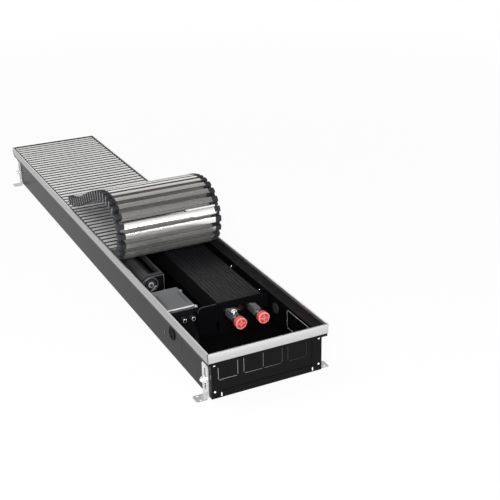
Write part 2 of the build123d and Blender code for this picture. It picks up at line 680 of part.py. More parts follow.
def cable_gland(x):
    """Screwed gland: thread in the wall, hexagon, round cap and the cable's bore."""
    y = BOX_Y0
    z = GLAND_Z
    gland = prism_y(TUBE_SIDES, GLAND_RADIUS, y, y + 6, x, z)
    gland += hex_y(15.0, y - 6, y, x, z)
    gland += prism_y(SIDES, 6.4, y - 15, y - 6, x, z)
    return gland - rod_y(CABLE_RADIUS, y - 16, y + 7, x, z)


def terminal_block():
    """Row of clamps on the box floor."""
    x0 = BOX_X0 + 16
    y0 = BOX_Y0 + 30
    floor = FLOOR_Z + BOX_WALL
    base = block(x0, x0 + 18, y0, y0 + 60, floor, floor + 12)
    for i in range(6):
        y = y0 + 2 + 10 * i
        base += block(x0 + 4, x0 + 14, y, y + 6, floor + 12, floor + 20)
    return base


def partition():
    """Upright plate between the electrical and water ends, with one rounded corner and a foot."""
    y = COIL_Y0 + 10
    x0 = BOX_X1 + 5
    x1 = COIL_X0 - 3
    plate = block(x0, x1, y, y + SHEET, FLOOR_Z, COIL_Z1 - 6)
    corner = plate.edges().filter_by(Axis.Y).sort_by(Axis.X)[0:2].sort_by(Axis.Z)[-1]
    plate = fillet(corner, 14)
    return plate + block(x0, x1, y - 14, y, FLOOR_Z, FLOOR_Z + SHEET)


# ---------------------------------------------------------------- roll-up grille
KNUCKLE_HALF = 3.0
PIN_RADIUS = 1.5
HOLE_HALF = PIN_RADIUS + RUNNING_FIT
HALF_SLAT = SLAT_LENGTH / 2
PLATE_OUT = (HALF_SLAT - 3.5, HALF_SLAT)          # outer knuckle plate, bored
PLATE_IN = (HALF_SLAT - 7.5, HALF_SLAT - 4.0)     # inner knuckle plate, with the pin


def slat_section():
    """(u, w) I-section: u runs along the grille, w from its underside to its top."""
    f = SLAT_FLANGE / 2
    h = SLAT_HEIGHT / 2
    t = h - SLAT_FLANGE_WALL
    b = SLAT_WEB / 2
    return [(-f, h), (f, h), (f, t), (b, t), (b, -t), (f, -t), (f, -h), (-f, -h),
            (-f, -t), (-b, -t), (-b, t), (-f, t)]


def knuckle(way):
    """(u, w) outline of a knuckle plate that ends half round about the hinge line."""
    c = PITCH / 2
    k = KNUCKLE_HALF
    s = k * tan(radians(22.5))
    return [(way * u, w) for u, w in (
        (SLAT_WEB / 2, -k), (c + s, -k), (c + k, -s), (c + k, s), (c + s, k), (SLAT_WEB / 2, k))]


def unit(points):
    """The unit slat is drawn with u along -Y."""
    return [(-u, w) for u, w in points]


def leading_knuckle():
    """Plate towards the free end, with the hinge pin."""
    plate = bar_x(unit(knuckle(1)), *PLATE_IN)
    pin = extrude(RegularPolygon(PIN_RADIUS, 6), PLATE_OUT[1] - 0.5 - PLATE_IN[1])
    return plate + Pos(PLATE_IN[1], -PITCH / 2, 0) * Rot(0, 90, 0) * pin


def trailing_knuckle():
    """Plate towards the far end, bored for its neighbour's pin."""
    plate = bar_x(unit(knuckle(-1)), *PLATE_OUT)
    c = PITCH / 2
    return plate - block(PLATE_OUT[0] - 1, PLATE_OUT[1] + 1, c - HOLE_HALF, c + HOLE_HALF,
                         -HOLE_HALF, HOLE_HALF)


def hinged_slat(last):
    """A slat of the rolled part: profile, moulded ends and knuckles in one piece."""
    slat = bar_x(unit(slat_section()), -HALF_SLAT, HALF_SLAT)
    for part in both_sides(trailing_knuckle()):
        slat += part
    if not last:
        for part in both_sides(leading_knuckle()):
            slat += part
    return slat


def flat_slat(last):
    """A slat that lies flat, linked to its neighbour. The last one carries the hinge pins."""
    slat = bar_x(unit(slat_section()), -HALF_SLAT, HALF_SLAT)
    reach = SLAT_WEB / 2 - PITCH
    link = block(PLATE_IN[0], HALF_SLAT, reach, -SLAT_WEB / 2, -KNUCKLE_HALF, KNUCKLE_HALF)
    for part in both_sides(leading_knuckle() if last else link):
        slat += part
    return slat


def turn_angles():
    """How far each slat turns from the one before it, in degrees, where the grille is rolled.

    The turns grow as the grille lifts off the ledge, stay wide over the top and fade out. A
    slight reverse bend then lets the free end down on the slats that lie flat.
    """
    lift_turn = 13.3
    crown_turn = 17.5
    tail_turn = 3.8
    turns = []
    for k in range(SLAT_COUNT - FLAT_COUNT):
        lift = lift_turn * bump(k, 2.6, 2.9)
        over = crown_turn * bump(k, 7.3, 5.9)
        settle = -tail_turn * bump(k, 23.4, 3.1)
        turns.append(min(lift + over + settle, TIGHTEST_TURN))
    return turns


def bump(k, middle, spread):
    """A smooth rise and fall round one slat, 1 at its middle."""
    away = (k - middle) / spread
    return 1 / (1 + away * away) ** 2


def rolled_places():
    """(heading, middle y, middle z) of each rolled slat. Heading 0 lies flat."""
    y = ROLL_START_Y
    z = SLAT_MID_Z
    heading = 0.0
    places = []
    for turn in turn_angles():
        heading += turn
        dy = -cos(radians(heading)) * PITCH
        dz = sin(radians(heading)) * PITCH
        places.append((heading, y + dy / 2, z + dz / 2))
        y += dy
        z += dz
    return places


def build_grille():
    flats = [FAR_SLAT_Y - i * PITCH for i in range(FLAT_COUNT)]
    plain = flat_slat(False)
    linked = [Pos(0, y, SLAT_MID_Z) * plain for y in flats[:-1]]
    save("grille_flat_slats", *linked, Pos(0, flats[-1], SLAT_MID_Z) * flat_slat(True))
    middle = hinged_slat(False)
    final = hinged_slat(True)
    places = rolled_places()
    for i, (heading, y, z) in enumerate(places):
        slat = final if i == len(places) - 1 else middle
        save(f"grille_slat_{FLAT_COUNT + 1 + i}", Pos(0, y, z) * Rot(-heading, 0, 0) * slat)


# ---------------------------------------------------------------- build
def build_casing():
    save("trough_floor", *trough_floor())
    save("trough_walls", *trough_walls())
    save("trough_ledges", *trough_ledges())
    front = end_plate()
    save("end_plates", front, turned(front))
    fixings = end_fixings()
    save("casing_rivets", *fixings, *[turned(f) for f in fixings], *both_sides(wall_tab()))
    long_bar = frame_bar(LENGTH / 2, WIDTH / 2)
    short_bar = Rot(0, 0, 90) * frame_bar(WIDTH / 2, LENGTH / 2)
    save("frame_long", long_bar, turned(long_bar))
    save("frame_short", short_bar, turned(short_bar))
    plug = blanking_plug()
    save("blanking_plugs", plug, mirrored_x(plug))


def build_feet():
    names = ("foot_rear_right", "foot_rear_left", "foot_front_right", "foot_front_left")
    for name, shape in zip(names, four_corners(foot())):
        save(name, shape)
    save("foot_bolts", *four_corners(foot_fastener()))


def build_coil():
    save("fin_pack", fin_pack())
    save("water_tubes", water_tubes())
    save("coil_end_plates", *coil_plates())
    save("coil_clips", *[coil_clip(y) for y in CLIPS_Y], *[clip_screw(y) for y in CLIPS_Y])
    left, right = [union(x) for x in UNIONS_X]
    save("connection_unions", left, right)
    save("cap_left", union_cap(UNIONS_X[0]))
    save("cap_right", union_cap(UNIONS_X[1]))
    save("vent_body", vent_body())
    save("vent_screw", vent_screw())


def build_fan():
    save("fan_housing", fan_housing())
    far = FAN_Y1 - FAN_SHEET
    save("fan_end_plates", fan_end(FAN_Y0, -1), fan_end(far, 1))
    save("fan_bearing", fan_bearing())
    save("fan_rotor", fan_rotor())
    save("fan_motor", fan_motor())


def build_box():
    save("junction_box", junction_box())
    save("box_lid", box_lid(), *lid_screws())
    save("cable_glands", *[cable_gland(x) for x in GLANDS_X])
    save("terminal_block", terminal_block())
    save("partition_plate", partition())


def main():
    os.makedirs("parts", exist_ok=True)
    build_casing()
    build_feet()
    build_coil()
    build_fan()
    build_box()
    build_grille()


main()
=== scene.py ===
"""Looks of the trench convector heater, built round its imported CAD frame.

Lengths are written in millimetres, in the frame's axes, and become metres in piece().
"""
import json
from math import cos, pi, radians, sin, sqrt

import bmesh
import bpy
from mathutils import Matrix, Vector


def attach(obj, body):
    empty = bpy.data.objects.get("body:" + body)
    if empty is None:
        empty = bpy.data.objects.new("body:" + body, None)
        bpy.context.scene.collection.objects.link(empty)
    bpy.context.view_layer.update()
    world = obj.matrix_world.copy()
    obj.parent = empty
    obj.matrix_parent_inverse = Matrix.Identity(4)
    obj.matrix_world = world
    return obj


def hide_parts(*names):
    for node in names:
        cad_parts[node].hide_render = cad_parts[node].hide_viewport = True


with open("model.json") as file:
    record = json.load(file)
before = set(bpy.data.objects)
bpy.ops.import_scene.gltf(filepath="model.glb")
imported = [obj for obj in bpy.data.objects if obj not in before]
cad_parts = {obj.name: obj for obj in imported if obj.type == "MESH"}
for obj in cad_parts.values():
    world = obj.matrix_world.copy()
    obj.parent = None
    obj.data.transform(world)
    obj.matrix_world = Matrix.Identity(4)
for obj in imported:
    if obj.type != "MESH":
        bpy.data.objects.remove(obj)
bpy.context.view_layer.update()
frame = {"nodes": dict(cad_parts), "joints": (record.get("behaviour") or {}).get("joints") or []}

MM = 0.001

# ---------------------------------------------------------------- sizes shared with the CAD
LENGTH, WIDTH, TOP_Z, BOTTOM_Z = 1700.0, 300.0, 129.0, 9.0
WALL_X, WALL_Y = 139.0, 839.0
SHEET, FLANGE_SIDE = 1.2, 25.0
RIM_HEIGHT, RIM_WIDTH, RIM_WALL, RIM_LIP, RIM_INNER_WALL, MITRE_GAP = 23.0, 3.8, 1.2, 8.0, 0.8, 2.4
PITCH = 24.1493
SLAT_HALF, SLAT_HEIGHT, FLANGE, FLANGE_WALL, WEB = 145.5, 27.0, 15.5, 1.6, 2.0
SLAT_MID_Z = 113.5
FAR_SLAT_Y, FLAT_COUNT = 833.15, 43
END_BLOCK = 17.0            # length of a slat's moulded end
TOP_REACH = 142.0           # half length of a slat's top flange
CROWN = 140.0               # beyond this heading a slat hangs back from the crown of the roll
HINGE_PLATES = ((142.0, 145.5), (138.0, 141.5))   # trailing plate, leading plate
COIL_X0, COIL_X1, COIL_Y0, COIL_Y1, COIL_Z0, COIL_Z1 = 5.0, 125.0, -570.0, 770.0, 38.0, 93.0
TUBE_Z, TUBE_RADIUS = 72.0, 6.0
UNIONS_X, UNION_Z = (21.0, 82.0), 76.0
UNION_Y, HEX_Y, CAP_Y0, CAP_Y1 = -588.0, -634.0, -664.0, -650.0
VENT_Y, VENT_Z = -622.0, 88.0
FAN_X0, FAN_X1, FAN_Y0, FAN_Y1, FAN_TOP, FAN_LOW = -114.0, -52.0, -345.0, 560.0, 96.0, 22.0
FAN_AXIS = (-87.0, 71.0)
BOX_X0, BOX_X1, BOX_Y0, BOX_Y1 = -130.0, -53.0, -552.0, -439.0
LID_TOP, GLANDS_X, GLAND_Z = 96.0, (-85.0, -61.5), 65.0
FOOT_X, FOOT_SHEET, FOOT_PAD, FOOT_Y, FOOT_TOP, BOLT_Z = 139.4, 2.5, 27.0, 811.0, 88.0, 48.0
PLUG_Y, PLUG_Z = -617.0, 69.0
TAB_Y, TAB_Z = -568.0, 51.0
KNOCKOUTS_X, KNOCKOUT_LOW, KNOCKOUT_SIZE = (-121.5, -58.5, -10.5, 52.0), 53.0, (48.0, 41.5)
SHARED_CUT_X = -10.5        # this knock-out shares its left cut with its neighbour
SIDE_KNOCKOUT_Y, SIDE_KNOCKOUT_LOW, SIDE_KNOCKOUT_SIZE = -790.0, 42.5, (114.0, 48.0)
CLIPS_Y = (COIL_Y0 + 30.0, COIL_Y0 + 195.0, 0.0, COIL_Y1 - 395.0, COIL_Y1 - 30.0)


# ---------------------------------------------------------------- materials
def surface(name, color, metallic=0.0, roughness=0.4, vary=0.06, grain=(90, 90, 90),
            gloss=0.06, bump=0.0, fine=(900, 900, 900), **sockets):
    """A principled surface whose colour and gloss drift a little, with a fine relief."""
    mat = bpy.data.materials.new(name)
    mat.use_nodes = True
    nodes, links = mat.node_tree.nodes, mat.node_tree.links
    bsdf = nodes["Principled BSDF"]
    bsdf.inputs["Metallic"].default_value = metallic
    for socket, value in sockets.items():
        bsdf.inputs[socket.replace("_", " ")].default_value = value
    where = nodes.new("ShaderNodeTexCoord")
    noises = []
    for scale in (grain, fine):
        stretch = nodes.new("ShaderNodeMapping")
        stretch.inputs["Scale"].default_value = scale
        links.new(where.outputs["Object"], stretch.inputs["Vector"])
        noise = nodes.new("ShaderNodeTexNoise")
        noise.inputs["Scale"].default_value = 1.0
        noise.inputs["Detail"].default_value = 3.0
        links.new(stretch.outputs["Vector"], noise.inputs["Vector"])
        noises.append(noise)
    drift = nodes.new("ShaderNodeMixRGB")
    drift.inputs["Color1"].default_value = [c * (1 - vary) for c in color] + [1]
    drift.inputs["Color2"].default_value = [min(1, c * (1 + vary)) for c in color] + [1]
    links.new(noises[0].outputs["Fac"], drift.inputs["Fac"])
    links.new(drift.outputs["Color"], bsdf.inputs["Base Color"])
    spread = nodes.new("ShaderNodeMapRange")
    spread.inputs["To Min"].default_value = max(0.02, roughness - gloss)
    spread.inputs["To Max"].default_value = roughness + gloss
    links.new(noises[1].outputs["Fac"], spread.inputs["Value"])
    links.new(spread.outputs["Result"], bsdf.inputs["Roughness"])
    if bump:
        relief = nodes.new("ShaderNodeBump")
        relief.inputs["Strength"].default_value = bump
        relief.inputs["Distance"].default_value = 0.0003
        links.new(noises[1].outputs["Fac"], relief.inputs["Height"])
        links.new(relief.outputs["Normal"], bsdf.inputs["Normal"])
    return mat


ALONG_X, ALONG_Y = (4, 260, 260), (260, 4, 260)
COATED = {"Specular_IOR_Level": 0.08}

paint = surface("black_paint", (0.003, 0.003, 0.0035), roughness=0.3, bump=0.1, gloss=0.05, **COATED)
# The rim metal in copies: a darker one is painted shade on the long rims' outer sides, a lighter one is
# painted light on their top.
rim_side_painted_shade = surface("rim_side_painted_shade", (0.38, 0.38, 0.385), 0.8, 0.33, 0.04, ALONG_Y, 0.05, 0.0, ALONG_Y)
rim_front = surface("rim_front", (0.44, 0.44, 0.44), 0.7, 0.45, 0.03, ALONG_X, 0.04, 0.0, ALONG_X)
rim_top_painted_light = surface("rim_top_painted_light", (0.80, 0.80, 0.80), 0.75, 0.33, 0.03, ALONG_Y, 0.04, 0.0, ALONG_Y)
# A lighter, more diffuse copy of the slat metal: painted light on the flat slats, lifting those that lie
# in the roll's shade.
flat_metal = surface("flat_metal", (0.84, 0.84, 0.835), 0.45, 0.3, 0.03, ALONG_X, 0.03, 0.0, ALONG_X)
slat_metal = surface("slat_metal", (0.80, 0.79, 0.78), 0.86, 0.24, 0.03, ALONG_X, 0.03, 0.0, ALONG_X)
# Darker copies of the slat metal: painted shade on the webs and flange edges, between the flanges.
slat_web_painted_shade = surface("slat_web_painted_shade", (0.36, 0.355, 0.345), 0.7, 0.35, 0.03, ALONG_X, 0.03, 0.0, ALONG_X)
slat_edge_painted_shade = surface("slat_edge_painted_shade", (0.03, 0.03, 0.03), 0.3, 0.5, 0.03, ALONG_X, 0.05, 0.0, ALONG_X)
web_tip = surface("web_tip", (0.36, 0.36, 0.37), 0.2, 0.4)
slat_end = surface("slat_end", (0.028, 0.029, 0.033), roughness=0.5, bump=0.1, **COATED)
ledge_paint = surface("ledge_paint", (0.016, 0.016, 0.017), roughness=0.35, bump=0.05,
                      Specular_IOR_Level=0.2)
plug_inside = surface("plug_inside", (0.03, 0.03, 0.032), roughness=0.45)
plug_black = surface("plug_black", (0.004, 0.004, 0.004), roughness=0.6, bump=0.1, **COATED)
zinc = surface("zinc", (0.62, 0.62, 0.63), 0.45, 0.3, 0.08, (60, 60, 60), 0.1, 0.03)
bright_steel = surface("bright_steel", (0.88, 0.88, 0.89), 0.6, 0.25, 0.05)
fin_black = surface("fin_black", (0.009, 0.009, 0.010), 0.1, 0.42, 0.1, (40, 8, 40), 0.04,
                    Specular_IOR_Level=0.2)
copper = surface("copper", (0.035, 0.02, 0.016), 0.6, 0.45, 0.15, (120, 120, 120))
nickel = surface("nickel", (0.14, 0.14, 0.145), 0.8, 0.24, 0.12, (80, 80, 80), 0.08)
chrome = surface("chrome", (0.9, 0.9, 0.92), 0.9, 0.12, 0.03, gloss=0.04)
red_plastic = surface("red_plastic", (0.80, 0.05, 0.055), roughness=0.34, vary=0.04, bump=0.03)
# A pale pink copy of the cap's red: a painted highlight on its lip and cross.
red_rim_painted_highlight = surface("red_rim_painted_highlight", (1.0, 0.40, 0.37), roughness=0.3, vary=0.04, bump=0.03)
fan_sheet = surface("fan_sheet", (0.10, 0.103, 0.108), 0.5, 0.38, 0.1, (50, 20, 50), 0.06, 0.03)
# A lighter copy of the fan's sheet: a painted highlight along its front edges.
fan_edge_painted_highlight = surface("fan_edge_painted_highlight", (0.28, 0.285, 0.29), 0.5, 0.35, 0.08)
fan_ring = surface("fan_ring", (0.13, 0.133, 0.138), 0.5, 0.38, 0.08)
dark_sheet = surface("dark_sheet", (0.005, 0.005, 0.006), 0.2, 0.4, 0.1, bump=0.03, **COATED)
# A light strip on the partition's upper edge: a painted highlight.
sheet_edge_painted_highlight = surface("sheet_edge_painted_highlight", (0.12, 0.12, 0.126), 0.5, 0.35, 0.08)
box_plastic = surface("box_plastic", (0.008, 0.008, 0.009), roughness=0.45, bump=0.1, **COATED)
lid_plastic = surface("lid_plastic", (0.16, 0.165, 0.175), 0.35, 0.3, 0.05, bump=0.08)
# A near-white copy of the lid: a painted highlight on its rounded front edge.
lid_edge_painted_highlight = surface("lid_edge_painted_highlight", (0.85, 0.85, 0.86), 0.4, 0.25, 0.05)
gland_plastic = surface("gland_plastic", (0.018, 0.018, 0.018), roughness=0.2, bump=0.05)
terminal_plastic = surface("terminal_plastic", (0.72, 0.72, 0.68), roughness=0.5, bump=0.1)
rubber = surface("rubber", (0.015, 0.015, 0.016), roughness=0.65, bump=0.2)
motor_can = surface("motor_can", (0.06, 0.06, 0.065), 0.5, 0.42, 0.1)
rotor_metal = surface("rotor_metal", (0.16, 0.16, 0.17), 0.7, 0.35, 0.1)


def fading_painted_highlight(name, near, far, x0, x1):
    """A painted highlight for cut edges that fades from one side of the heater to the other."""
    mat = surface(name, (near, near, near), 0.3, 0.45)
    nodes, links = mat.node_tree.nodes, mat.node_tree.links
    where = nodes.new("ShaderNodeTexCoord")
    split = nodes.new("ShaderNodeSeparateXYZ")
    links.new(where.outputs["Object"], split.inputs[0])
    fade = nodes.new("ShaderNodeMapRange")
    for socket, value in (("From Min", x0), ("From Max", x1), ("To Min", near), ("To Max", far)):
        fade.inputs[socket].default_value = value
    links.new(split.outputs["X"], fade.inputs["Value"])
    links.new(fade.outputs["Result"], nodes["Principled BSDF"].inputs["Base Color"])
    return mat


# Light lines on the end plates' cuts: a painted highlight that fades from left to right.
cut_painted_highlight = fading_painted_highlight("cut_painted_highlight", 0.18, 0.008, -0.08, 0.06)
# Near-white lines on the side cuts inside the tray: painted light coming through the slits.
cut_painted_light = surface("cut_painted_light", (0.85, 0.85, 0.85), 0.2, 0.4)
tab_grey = surface("tab_grey", (0.16, 0.16, 0.165), 0.1, 0.5)
fold_steel = surface("fold_steel", (0.09, 0.09, 0.092), 0.4, 0.4, 0.2)


# ---------------------------------------------------------------- outlines and solids
def circle(radius, sides=48):
    return [(radius * cos(2 * pi * i / sides), radius * sin(2 * pi * i / sides)) for i in range(sides)]


def hexagon(across):
    return circle(across / sqrt(3), 6)


def rectangle(u0, u1, v0, v1):
    return [(u0, v0), (u1, v0), (u1, v1), (u0, v1)]


def rounded(points, radius, steps=3):
    """The outline with every corner rounded off."""
    smooth = []
    for i, corner in enumerate(points):
        here = Vector(corner)
        before, after = Vector(points[i - 1]), Vector(points[(i + 1) % len(points)])
        reach = min(radius, (before - here).length / 2.01, (after - here).length / 2.01)
        start = here + (before - here).normalized() * reach
        end = here + (after - here).normalized() * reach
        for s in range(steps + 1):
            t = s / steps
            smooth.append(tuple(start * (1 - t) ** 2 + here * 2 * t * (1 - t) + end * t * t))
    return smooth


def inset(points, depth):
    """The outline drawn in by depth."""
    area = sum(a[0] * b[1] - b[0] * a[1] for a, b in zip(points, points[1:] + points[:1]))
    turn = 1 if area > 0 else -1
    moved = []
    for i, corner in enumerate(points):
        here = Vector(corner)
        into = (here - Vector(points[i - 1])).normalized()
        out = (Vector(points[(i + 1) % len(points)]) - here).normalized()
        normal = Vector((-(into.y + out.y), into.x + out.x)) * turn
        if normal.length < 1e-6:
            moved.append(corner)
            continue
        normal.normalize()
        lean = max(0.35, abs(normal.dot(Vector((-out.y, out.x)))))
        moved.append(tuple(here + normal * depth / lean))
    return moved


def placed(points, axis, at, centre=(0, 0)):
    """2-D points on the plane across an axis: (y, z) for x, (x, z) for y, (x, y) for z."""
    a, b = centre
    if axis == "x":
        return [(at, a + u, b + v) for u, v in points]
    if axis == "y":
        return [(a + u, at, b + v) for u, v in points]
    return [(a + u, b + v, at) for u, v in points]


def loft(bm, rings, closed=False):
    """Skins rings of points; its ends are capped unless the skin closes on itself."""
    rows = [[bm.verts.new(p) for p in ring] for ring in rings]
    pairs = list(zip(rows, rows[1:])) + ([(rows[-1], rows[0])] if closed else [])
    for low, high in pairs:
        for i in range(len(low)):
            j = (i + 1) % len(low)
            bm.faces.new((low[i], low[j], high[j], high[i]))
    if not closed:
        bm.faces.new(rows[0][::-1])
        bm.faces.new(rows[-1])


def solid(bm, points, axis, a0, a1, centre=(0, 0), bevel=0.0):
    """Extrudes an outline, with its ends bevelled."""
    if not bevel:
        loft(bm, [placed(points, axis, a, centre) for a in (a0, a1)])
        return
    small = inset(points, bevel)
    loft(bm, [placed(small, axis, a0, centre), placed(points, axis, a0 + bevel, centre),
              placed(points, axis, a1 - bevel, centre), placed(small, axis, a1, centre)])


def brick(bm, x0, x1, y0, y1, z0, z1, round_=0.4):
    """A box with all its edges eased."""
    solid(bm, rounded(rectangle(x0, x1, y0, y1), round_, 2), "z", z0, z1, bevel=round_ * 0.6)


def turned(bm, profile, axis, centre, closed=False, sides=48):
    """Revolves (radius, along) points about an axis."""
    loft(bm, [placed(circle(r, sides), axis, at, centre) for r, at in profile], closed)


def plate(bm, outline, holes, axis, a0, a1):
    """A flat plate with holes through it."""
    loops = [[], []]
    edges = [[], []]
    for points in [outline] + holes:
        for side, at in enumerate((a0, a1)):
            verts = [bm.verts.new(p) for p in placed(points, axis, at)]
            loops[side].append(verts)
            edges[side] += [bm.edges.new((v, verts[i - 1])) for i, v in enumerate(verts)]
    for low, high in zip(*loops):
        for i in range(len(low)):
            bm.faces.new((low[i - 1], low[i], high[i], high[i - 1]))
    for side in (0, 1):
        bmesh.ops.triangle_fill(bm, use_beauty=True, use_dissolve=False, edges=edges[side])


def mirrored(bm, axis):
    """Adds the mirror image of everything in bm across X = 0 or Y = 0."""
    copy = bmesh.ops.duplicate(bm, geom=bm.verts[:] + bm.edges[:] + bm.faces[:])
    for v in [g for g in copy["geom"] if isinstance(g, bmesh.types.BMVert)]:
        v.co[axis] = -v.co[axis]


def mesh_of(name, bm, mat, sharp=32):
    """A mesh in metres with its finishes."""
    bmesh.ops.recalc_face_normals(bm, faces=bm.faces)
    bmesh.ops.scale(bm, vec=(MM, MM, MM), verts=bm.verts)
    mesh = bpy.data.meshes.new(name)
    bm.to_mesh(mesh)
    bm.free()
    for finish in mat if isinstance(mat, tuple) else (mat,):
        mesh.materials.append(finish)
    mesh.shade_smooth()
    mesh.set_sharp_from_angle(angle=radians(sharp))
    return mesh


def piece(name, bm, mat, body, replaces=(), at=None, sharp=32, mesh=None):
    """Turns bm, or a copy of a mesh set at its place, into an object that rides on a body."""
    if mesh is None:
        mesh = mesh_of(name, bm, mat, sharp)
    else:
        mesh = mesh.copy()
        mesh.transform(at)
    obj = bpy.data.objects.new(name, mesh)
    bpy.context.scene.collection.objects.link(obj)
    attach(obj, body)
    if replaces:
        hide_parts(*replaces)
    return obj


def second_material(bm, where):
    """The faces that pass the test get the piece's second material: a second real finish on some pieces, a
    painted highlight on others.
    """
    bmesh.ops.recalc_face_normals(bm, faces=bm.faces)
    for face in bm.faces:
        face.material_index = int(where(face))


def paint_node(node, mat):
    """A CAD node keeps its shape and gets the finished material."""
    obj = frame["nodes"][node]
    for slot in obj.material_slots:
        slot.material = mat


# ---------------------------------------------------------------- grille
def slat_profile(bm, at_y=0.0, at_z=0.0):
    """The metal profile: a top flange the whole length, a web and bottom flange between the ends."""
    half, flange = SLAT_HEIGHT / 2, FLANGE / 2
    inner = half - FLANGE_WALL
    web = WEB / 2
    top = rounded(rectangle(-flange, flange, inner, half), 0.55, 3)
    solid(bm, top, "x", -TOP_REACH, TOP_REACH, (at_y, at_z), 0.3)
    tee = [(-flange, -half), (flange, -half), (flange, -inner), (web, -inner), (web, inner + 0.2),
           (-web, inner + 0.2), (-web, -inner), (-flange, -inner)]
    reach = SLAT_HALF - END_BLOCK
    solid(bm, rounded(tee, 0.55, 3), "x", -reach, reach, (at_y, at_z), 0.0)


def knuckle(way):
    """(y, z) outline of a hinge plate with a round end on the hinge line."""
    centre, radius = PITCH / 2, 3.4
    arc = [(way * (centre + radius * cos(radians(a))), radius * sin(radians(a)))
           for a in range(-90, 91, 15)]
    return [(0, -radius)] + arc + [(0, radius)]


def slat_ends(bm, at_y=0.0, at_z=0.0, leading=True, trailing=True, tips=False):
    """Moulded ends: a block under the top flange, hinge plates, the pin's head and the web's tip."""
    half, inner = SLAT_HEIGHT / 2, SLAT_HEIGHT / 2 - FLANGE_WALL
    for side in (-1, 1):
        x0, x1 = SLAT_HALF - END_BLOCK - 1.0, SLAT_HALF - 0.2
        neck = x0 + 8.5

        def across(a, b):
            return sorted((side * a, side * b))

        wide = [(-7.7, -half), (7.7, -half), (7.7, -half + 2.2), (6.2, -half + 3.4), (6.2, inner - 1.2),
                (5.0, inner), (-5.0, inner), (-6.2, inner - 1.2), (-6.2, -half + 3.4), (-7.7, -half + 2.2)]
        solid(bm, rounded(wide, 0.5, 2), "x", *across(x0, neck), (at_y, at_z), 0.35)
        slim = [(-7.2, -half), (7.2, -half), (7.8, -half + 3), (7.8, inner - 2.5), (6.0, inner),
                (-6.0, inner), (-7.8, inner - 2.5), (-7.8, -half + 3)]
        solid(bm, rounded(slim, 0.7, 2), "x", *across(neck + 1.2, x1), (at_y, at_z), 0.5)
        solid(bm, rounded(rectangle(-4.4, 4.4, -half + 1.2, inner - 0.5), 0.5, 2), "x",
              *across(neck - 0.5, neck + 1.6), (at_y, at_z))
        if tips:
            made, tip, margin = len(bm.faces), x1 + 0.15, 1.6
            web_end = rectangle(-1.4, 1.4, margin - half, inner - margin)
            solid(bm, web_end, "x", *across(tip - 1.0, tip), (at_y, at_z))
            for face in bm.faces[made:]:
                face.material_index = 1
        if trailing:
            solid(bm, knuckle(1), "x", *across(*HINGE_PLATES[0]), (at_y, at_z), 0.3)
        if leading:
            solid(bm, knuckle(-1), "x", *across(*HINGE_PLATES[1]), (at_y, at_z), 0.3)
            solid(bm, circle(1.5, 20), "x", *across(HINGE_PLATES[1][1], HINGE_PLATES[0][1] - 0.3),
                  (at_y - PITCH / 2, at_z), 0.2)


def slat_painted_shade(bm, at_z=0.0):
    """Polished flanges, with painted shade on the web and on the flange edges."""
    bmesh.ops.recalc_face_normals(bm, faces=bm.faces)
    for face in bm.faces:
        height = abs(face.calc_center_median().z - at_z)
        if abs(face.normal.z) < 0.97 and height > SLAT_HEIGHT / 2 - FLANGE_WALL - 0.05:
            face.material_index = 2
        elif height < SLAT_HEIGHT / 2 - 0.3:
            face.material_index = 1


def flat_grille():
    bm, ends = bmesh.new(), bmesh.new()
    for i in range(FLAT_COUNT):
        y = FAR_SLAT_Y - i * PITCH
        slat_profile(bm, y, SLAT_MID_Z)
        slat_ends(ends, y, SLAT_MID_Z, trailing=i > 0)
    slat_painted_shade(bm, SLAT_MID_Z)
    # The flat slats' webs take the near-black painted shade of the flange edges.
    piece("flat_slats", bm, (flat_metal, slat_edge_painted_shade, slat_edge_painted_shade), "grille_flat",
          ["grille_flat_slats"])
    piece("flat_slat_ends", ends, slat_end, "grille_flat")


def rolled_grille():
    """One profile and its ends for each rolled slat, set out from the hinges' own lines."""
    hinges = [j for j in frame["joints"] if j["name"].startswith("slat_")]
    bm, ends, tipped, last = bmesh.new(), bmesh.new(), bmesh.new(), bmesh.new()
    slat_profile(bm)
    slat_painted_shade(bm)
    slat_ends(ends)
    slat_ends(tipped, tips=True)
    slat_ends(last, leading=False, tips=True)
    metal = mesh_of("slat_metal", bm, (slat_metal, slat_web_painted_shade, slat_edge_painted_shade))
    plastic = (slat_end, web_tip)
    ends, tipped, last = [mesh_of("slat_ends", part, plastic) for part in (ends, tipped, last)]
    heading = 0.0
    for i, hinge in enumerate(hinges):
        body = hinge["child"]
        heading += hinge["axis"][0] * hinge["range_deg"][0]
        a = radians(heading)
        middle = Vector(hinge["pos_m"]) + Vector((0, -cos(a), sin(a))) * PITCH / 2 * MM
        at = Matrix.Translation(middle) @ Matrix.Rotation(-a, 4, "X")
        piece(body + "_metal", None, None, body, [body], at, mesh=metal)
        shape = last if i == len(hinges) - 1 else tipped if heading > CROWN else ends
        piece(body + "_ends", None, None, body, at=at, mesh=shape)


# ---------------------------------------------------------------- casing
def rim_outline():
    """(inwards, up) section of the rim, with its edges eased."""
    low, top = TOP_Z - RIM_HEIGHT, TOP_Z
    return rounded([
        (0, low), (0, top), (RIM_WIDTH, top), (RIM_WIDTH, top - RIM_LIP),
        (RIM_WIDTH - RIM_INNER_WALL, top - RIM_LIP), (RIM_WIDTH - RIM_INNER_WALL, top - RIM_WALL),
        (RIM_WALL, top - RIM_WALL), (RIM_WALL, low)], 0.35, 2)


